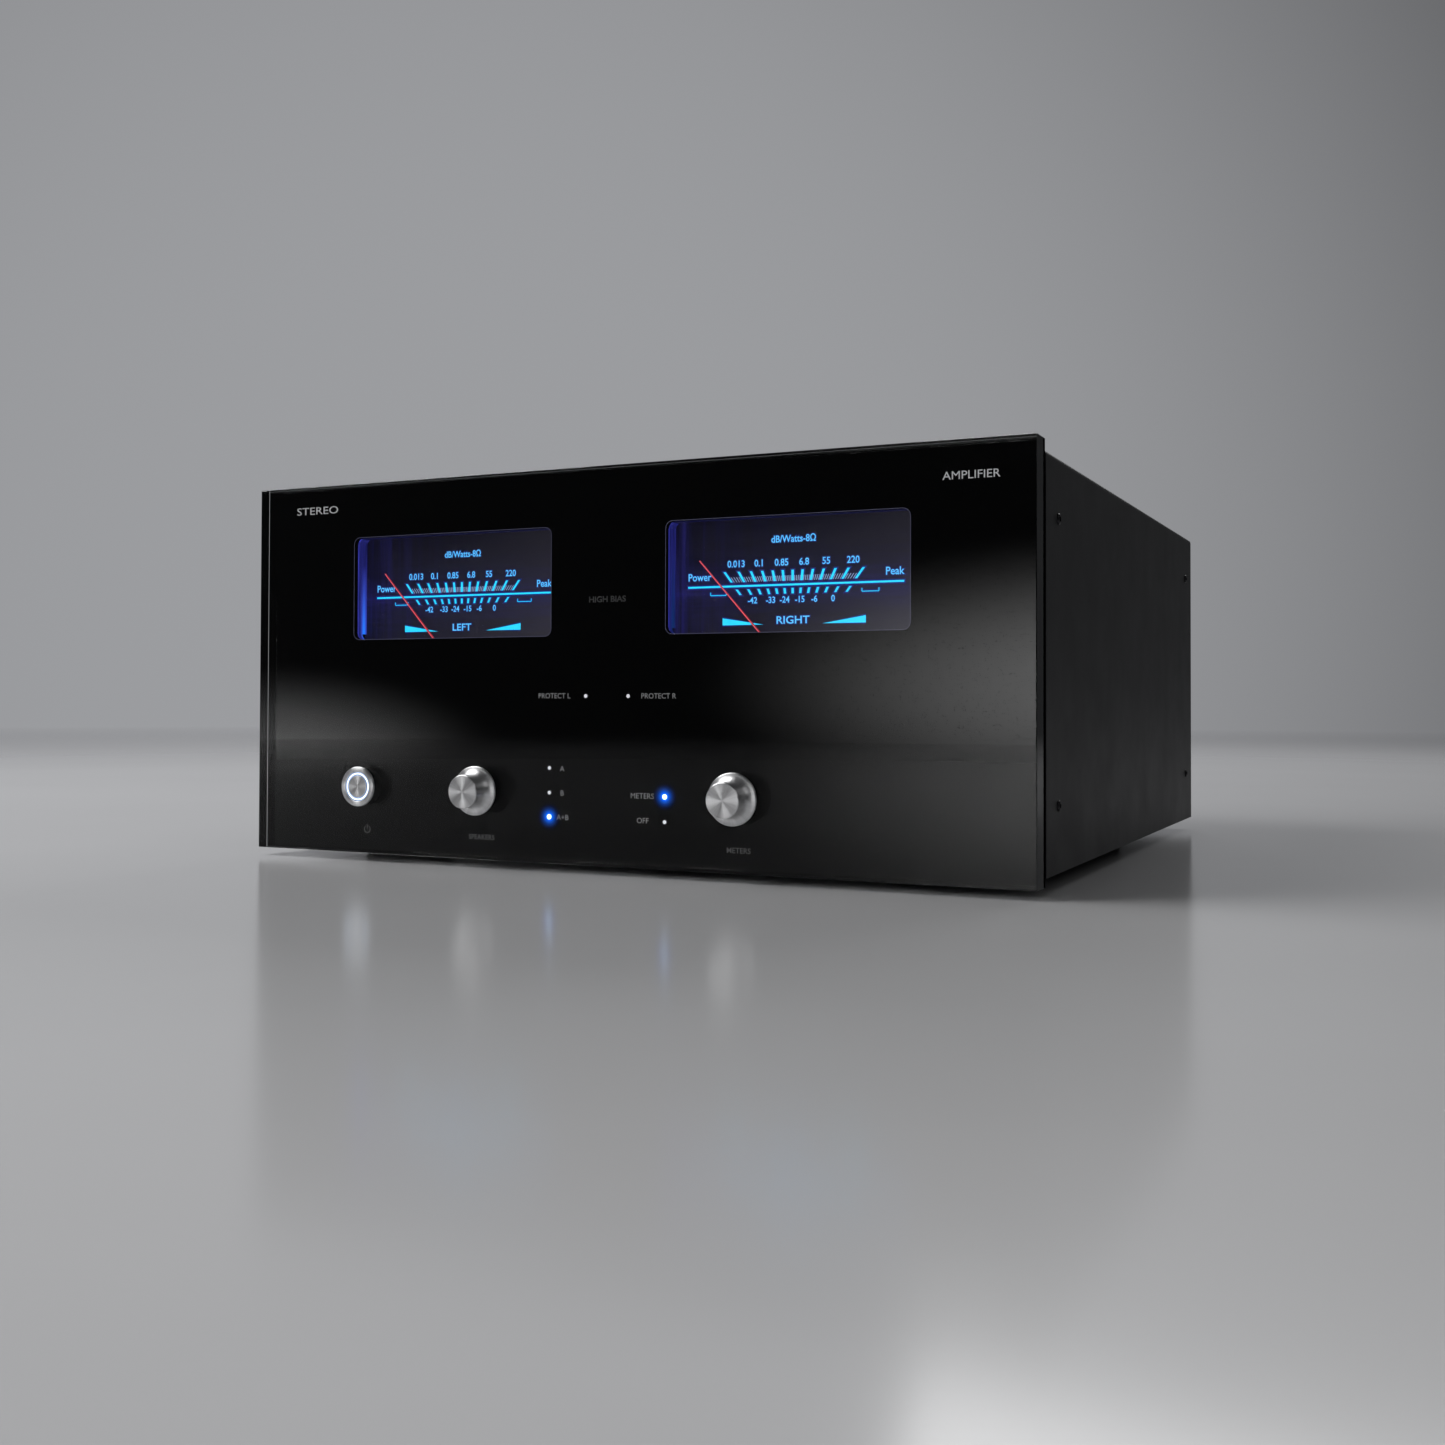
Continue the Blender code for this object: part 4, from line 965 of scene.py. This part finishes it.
FOOT = [
    (0, 7.1), (22.9, 7.1), (23.7, 6.8), (24.0, 6.1), (24.0, 4.4), (23.4, 4.15), (23.4, 3.85), (24.0, 3.6),
    (24.0, 1.4), (23.6, 0.5), (22.8, 0.0), (16.0, 0.0), (15.4, 0.5), (0, 0.5),
]
for end in ("front", "rear"):
    for side, _ in SIDES:
        node = f"foot_{end}_{side}"
        x, depth, _ = middle(node)
        looks = ("rubber", "foot_rubber", "root", (node,))
        turned_piece(f"{node}_turned", FOOT, at(x, depth, 0), Euler(), *looks)


# ---------------------------------------------------------------- rear

REAR = span("rear_panel")[1][1]

# Depths on the rear's sockets and terminals.
TERMINAL_FACE, SOCKET_FACE, INLET_FACE = 437.6, 435.1, 436.6
POST_BASE, POST_END = 442.75, 460.95
PIN_DEPTHS = (419.65, 434.2)
GOLD = ("gold", "bare_steel")
POLES = {"plus": ("red_cap", "terminal_red"), "minus": ("black_cap", "terminal_black")}


def make_cap(side, pair, pole):
    """A knurled screw cap, with the gold rim of its bore."""
    node = f"terminal_cap_{side}_{pair}_{pole}"
    body = f"cap_{side}_{pair}_{pole}"
    x, _, height = middle(node)
    base, end = span(node)[1]
    length = end - base
    profile = [
        (2.8, 0.05), (6.5, 0.0), (6.9, 0.35), (6.9, 1.9), (6.2, 2.2), (6.2, 2.9), (7.2, 3.3),
        (7.2, length - 7.6), (6.5, length - 6.6), (5.9, length - 6.4), (5.9, length - 0.9), (5.3, length),
        (4.1, length), (4.1, length - 0.4), (2.8, length - 0.4),
    ]
    work = bmesh.new()
    lathe(work, profile, 72, ring=True, knurl=(3.2, length - 7.5, 7.0, 0.32))
    place = at(x, base, height)
    make_piece(f"{node}_knurled", work, place, TO_BACK, *POLES[pole], body, (node,))
    rim = [(2.85, length - 0.38), (4.05, length - 0.38), (4.05, length - 0.06), (2.95, length - 0.06)]
    turned_piece(f"{node}_rim", rim, place, TO_BACK, *GOLD, body, ring=True, steps=48)
    return -x, height


def make_terminals(side):
    """Gold posts, coloured collar rings and knurled caps of one channel."""
    posts = bmesh.new()
    rings = {pole: bmesh.new() for pole in POLES}
    base, end = POST_BASE - REAR, POST_END - REAR
    post = [
        (0, end - 0.3), (2.42, end - 0.3), (2.42, base), (2.65, base), (2.65, end - 0.35),
        (2.4, end), (1.75, end), (1.6, end - 0.23), (0, end - 0.23),
    ]
    collar = [(7.25, 0.05), (8.2, 0.05), (8.2, 0.9), (7.9, 1.3), (7.25, 1.3)]
    for pair in "ab":
        for pole in POLES:
            offset = make_cap(side, pair, pole)
            lathe(posts, post, 36, offset)
            lathe(rings[pole], [(r, z + TERMINAL_FACE - REAR) for r, z in collar], 64, offset, ring=True)
    place = at(0, REAR, 0)
    make_piece(f"terminal_posts_{side}", posts, place, TO_BACK, *GOLD)
    for pole, work in rings.items():
        make_piece(f"terminal_rings_{side}_{pole}", work, place, TO_BACK, *POLES[pole])


for side, _ in SIDES:
    make_terminals(side)
    x, _, height = middle(f"speaker_block_{side}")
    for number, (across, up) in enumerate(((-1, -1), (1, -1), (-1, 1), (1, 1)), 1):
        place = at(x + across * 24, TERMINAL_FACE, height + up * 25)
        socket_screw(f"speaker_block_screw_{side}_{number}", place, TO_BACK, 2.4, 1.1, 1.0)


def make_line_inputs():
    """Plate with two phono sockets: gold barrels round a white and a red insulator."""
    (low, high), (base, _), (bottom, top) = span("line_input_sockets")
    centre = (bottom + top) / 2
    work = bmesh.new()
    outline = rounded_outline((0, centre), (high - low, top - bottom), 2.5)
    prism(work, outline, base - REAR, SOCKET_FACE - REAR)
    looks = ("plastic", "socket_plate", "root", ("line_input_sockets",))
    make_piece("line_input_plate", work, at(0, REAR, 0), TO_BACK, *looks)
    barrel = [
        (3.35, -1.0), (5.9, -1.0), (5.9, 1.3), (5.6, 1.6), (4.4, 1.6), (4.15, 1.9), (4.15, 8.2), (3.95, 8.5),
        (3.5, 8.5), (3.35, 8.3),
    ]
    core = [(1.65, -1.0), (3.3, -1.0), (3.3, 6.6), (3.1, 6.8), (1.9, 6.8), (1.65, 6.5)]
    pin = [(1.1, -1.0), (1.6, -1.0), (1.6, 6.0), (1.1, 6.0)]
    for side, sign in SIDES:
        insert = ("white_insert" if side == "left" else "red_insert", "socket_plate")
        rows = (("barrel", barrel, GOLD, 64), ("core", core, insert, 48), ("contact", pin, GOLD, 32))
        for part, profile, looks, steps in rows:
            place = at(sign * 11, SOCKET_FACE, centre)
            turned_piece(f"line_{part}_{side}", profile, place, TO_BACK, *looks, ring=True, steps=steps)
        place = at(sign * 22.5, SOCKET_FACE, centre)
        socket_screw(f"line_input_screw_{side}", place, TO_BACK, 2.3, 1.0, 0.95)


make_line_inputs()


def make_balanced_input(side):
    """Contacts, latch and screws of a balanced input."""
    x, _, height = middle(f"balanced_input_{side}")
    face = span(f"balanced_input_{side}")[1][1]
    sleeves = bmesh.new()
    holes = bmesh.new()
    for turn in (90, 210, 330):
        angle = math.radians(turn)
        offset = (-x + 4.1 * math.cos(angle), height + 4.1 * math.sin(angle))
        lathe(sleeves, [(1.1, 0.03), (1.1, 0.2), (1.55, 0.2), (1.7, 0.03)], 32, offset, True)
        lathe(holes, [(0, 0.02), (1.08, 0.02), (1.08, 0.06), (0, 0.06)], 24, offset)
    place = at(0, face, 0)
    make_piece(f"balanced_contacts_{side}", sleeves, place, TO_BACK, *GOLD)
    make_piece(f"balanced_contact_holes_{side}", holes, place, TO_BACK, "inner_plastic", "socket_plate")
    work = bmesh.new()
    block(work, (-x - 3.4, -x + 3.4), (height + 9.9, height + 13.4), (0.02, 1.5), 0.5)
    for ridge in range(3):
        low = height + 10.7 + ridge * 0.8
        block(work, (-x - 2.5, -x + 2.5), (low, low + 0.35), (1.4, 1.7), 0.1)
    make_piece(f"balanced_latch_{side}", work, place, TO_BACK, "nickel", "bare_steel")
    for number, sign in enumerate((-1, 1), 1):
        place = at(x + sign * 10.2, face, height + sign * 12.6)
        socket_screw(f"balanced_screw_{side}_{number}", place, TO_BACK, 2.1, 0.9, 0.85)


for side, _ in SIDES:
    make_balanced_input(side)


def make_inlet_details():
    """Pins in the recess of the mains inlet, and the screws of its flange."""
    work = bmesh.new()
    for x, height in ((0, 34.6), (-7, 30.4), (7, 30.4)):
        block(work, (x - 1, x + 1), (height - 2, height + 2), [d - REAR for d in PIN_DEPTHS], 0.45)
    make_piece("inlet_pins", work, at(0, REAR, 0), TO_BACK, "nickel", "bare_steel")
    for side, sign in SIDES:
        socket_screw(f"inlet_screw_{side}", at(sign * 20, INLET_FACE, 49), TO_BACK, 2.6, 0.9, 1.1)


make_inlet_details()

ROCKER_AXIS = 0.0655  # height, in metres


def make_rocker_marks():
    """A line and a circle on the two faces of the rocker, raised from the plastic."""
    rocker = frame["nodes"]["mains_rocker"].data
    faces = [p for p in rocker.polygons if p.normal.y > 0.5]
    for name, upper in (("on", True), ("off", False)):
        half = [p for p in faces if (p.center.z > ROCKER_AXIS) == upper]
        area = sum(p.area for p in half)
        centre = sum((p.center * p.area for p in half), Vector()) / area
        normal = sum((p.normal * p.area for p in half), Vector()).normalized()
        work = bmesh.new()
        if upper:
            prism(work, stroke((0, -1.6), (0, 1.6), 0.5), -0.05, 0.12)
        else:
            lathe(work, [(1.1, -0.05), (1.6, -0.05), (1.6, 0.12), (1.1, 0.12)], 32, ring=True)
        tilt = normal.to_track_quat("Z", "Y").to_euler()
        make_piece(f"rocker_mark_{name}", work, centre, tilt, "rear_print", "rocker_plastic", "mains_rocker")


make_rocker_marks()

REAR_LEGENDS = (
    ("LINE INPUT", 0, 160.5, 3.0), ("L", -11, 126.2, 2.6), ("R", 11, 126.2, 2.6),
    ("BALANCED INPUT L", -64, 163.5, 3.0), ("BALANCED INPUT R", 64, 163.5, 3.0),
    ("SPEAKERS LEFT", -128, 97.5, 3.2), ("SPEAKERS RIGHT", 128, 97.5, 3.2),
    ("BIAS", 59.5, 101.5, 2.8), ("HIGH", 70.5, 92.0, 2.3), ("NORMAL", 46.5, 92.0, 2.3),
    ("AC INPUT", 0, 10.5, 2.6),
)
BLOCK_LEGENDS = (("A", 0, 75), ("B", 0, 49), ("+", -12, 62), ("-", 12, 62), ("8Ω", 0, 62))
words = [(text, -x, height, cap) for text, x, height, cap in REAR_LEGENDS]
looks = ("rear_print", "black_sheet")
print_words("rear_legends", words, REAR, TO_BACK, looks, bold=0.03, thickness=0.05)

words = [(text, -(sign * 128 + x), height, 2.8) for _, sign in SIDES for text, x, height in BLOCK_LEGENDS]
looks = ("rear_print", "terminal_block")
print_words("speaker_block_legends", words, TERMINAL_FACE + 0.02, TO_BACK, looks, bold=0.05, thickness=0.05)

looks = ("rear_print", "rocker_plastic", "fuse_drawer")
face = span("fuse_drawer")[1][1] + 0.01
words = (("FUSE", 0, 49.0, 2.0),)
print_words("fuse_drawer_legend", words, face, TO_BACK, looks, bold=0.03, thickness=0.04)

panel_x, _, panel_height = span("rear_panel")
for row, height in (("low", panel_height[0] + 7), ("high", panel_height[1] - 7)):
    for number, share in enumerate((-1, -0.5, 0.0, 0.5, 1), 1):
        if row == "low" and share == 0.0:
            continue
        place = at(share * (panel_x[1] - 8), REAR + 0.05, height)
        socket_screw(f"rear_screw_{row}_{number}", place, TO_BACK, 2.4, 1.1, 1.05)


# ---------------------------------------------------------------- stage


FLOOR_FADE = (1.2, 4.5)  # metres from the object where the floor starts and ends its fade
FLOOR_DROP = 0.0004  # metres below the feet, so that no two faces coincide


def make_floor():
    """A plain floor that fades into the backdrop, so that no edge shows in the clear plate."""
    surface = Surface("studio_floor", (0.62, 0.62, 0.63), 0.16)
    surface.mottle(0.02, 3)
    far = surface.math("DIVIDE", surface.radius(), FLOOR_FADE[1])
    edge = FLOOR_FADE[0] / FLOOR_FADE[1]
    surface.feed("Alpha", surface.spread(far, 1.0, 0.0, edge, 1.0))
    mesh = bpy.data.meshes.new("studio_floor")
    work = bmesh.new()
    bmesh.ops.create_grid(work, x_segments=1, y_segments=1, size=6.0)
    work.to_mesh(mesh)
    work.free()
    mesh.materials.append(surface.material)
    add_object("studio_floor", mesh, (0, 0, -FLOOR_DROP))


def softbox(name, place, target, size, power):
    light = bpy.data.lights.new(name, "AREA")
    light.shape = "RECTANGLE"
    light.size, light.size_y = size
    light.energy = power
    turn = (Vector(target) - Vector(place)).to_track_quat("-Z", "Y").to_euler()
    return add_object(name, light, place, turn)


def soft_edged_box(name, place, target, size, power):
    """A softbox that fades out towards its edges, and that the camera doesn't see."""
    obj = softbox(name, place, target, size, power)
    obj.visible_camera = False
    obj.data.use_nodes = True
    nodes = Nodes(obj.data.node_tree)
    offset = nodes.vector("SUBTRACT", nodes.add("ShaderNodeNewGeometry").outputs["Position"], place)
    stretched = nodes.vector("MULTIPLY", offset, (2 / size[0], 2 / size[0], 2 / size[1]))
    distance = nodes.vector("LENGTH", stretched, output="Value")
    strength = nodes.spread(distance, 0.0, 1.0, 1.0, 0.0, "SMOOTHERSTEP")
    nodes.link(strength, nodes.tree.nodes["Emission"].inputs["Strength"])


PALE_SIDE = (-0.58, 0.81, 0.05)  # the direction in which the backdrop is palest
DARK, PALE = (0.035, 0.036, 0.038), (0.33, 0.335, 0.35)


def make_world():
    """A dark backdrop with one pale side, behind the object."""
    world = bpy.data.worlds.new("studio")
    bpy.context.scene.world = world
    world.use_nodes = True
    nodes = Nodes(world.node_tree)
    background = world.node_tree.nodes["Background"]
    background.inputs["Strength"].default_value = 1.0
    direction = nodes.add("ShaderNodeTexCoord").outputs["Generated"]
    towards = nodes.vector("DOT_PRODUCT", direction, PALE_SIDE, "Value")
    fade = nodes.spread(towards, 0.0, 1.0, 0.6, 1.0, "SMOOTHSTEP")
    nodes.link(nodes.blend(fade, DARK, PALE), background.inputs["Color"])


CAMERA_PLACE = (373.9, -651.6, 84.1)  # X, depth and height
CAMERA_TURN = (26.14, 1.01, 0.19)  # degrees: yaw, pitch and roll
CAMERA_LENS, CAMERA_SHIFT = 38.21, (0.0165, -0.0326)


def make_camera():
    """The camera stands low, in front of the object and to its right, and turns back to it."""
    yaw, pitch, roll = (math.radians(a) for a in CAMERA_TURN)
    forward = Vector((-math.sin(yaw) * math.cos(pitch), math.cos(yaw) * math.cos(pitch), math.sin(pitch)))
    camera = bpy.data.cameras.new("camera")
    camera.sensor_width = 36
    camera.lens = CAMERA_LENS
    camera.shift_x, camera.shift_y = CAMERA_SHIFT
    camera.clip_start = 0.01
    obj = add_object("camera", camera)
    level = forward.to_track_quat("-Z", "Y").to_matrix()
    turned = (level @ Matrix.Rotation(roll, 3, "Z")).to_4x4()
    obj.matrix_world = Matrix.Translation(at(*CAMERA_PLACE)) @ turned
    bpy.context.scene.camera = obj


make_floor()
make_world()
softbox("key_light", (-1.5, -0.7, 1.9), (-0.2, 0, 0.1), (1.6, 1.6), 38)
softbox("front_light", (-1.7, -1.7, 1.5), (0, 0, 0.05), (1.2, 0.8), 12)
softbox("fill_light", (1.9, -0.9, 1.5), (0, 0, 0.1), (1.2, 1.2), 3)
softbox("back_light", (0.2, 2.0, 1.7), (0, 0.1, 0.1), (1.8, 0.8), 18)
soft_edged_box("low_glow_right", (-0.1, -2.7, 0.12), (0.15, -0.2, 0.1), (2.2, 0.7), 16)
soft_edged_box("low_glow_left", (-2.0, -2.2, -0.06), (-0.2, -0.2, 0.05), (1.2, 0.5), 3.6)
make_camera()
bpy.context.scene.view_settings.view_transform = "Standard"

bpy.data.objects.remove(font_object)
bpy.data.curves.remove(font_curve)
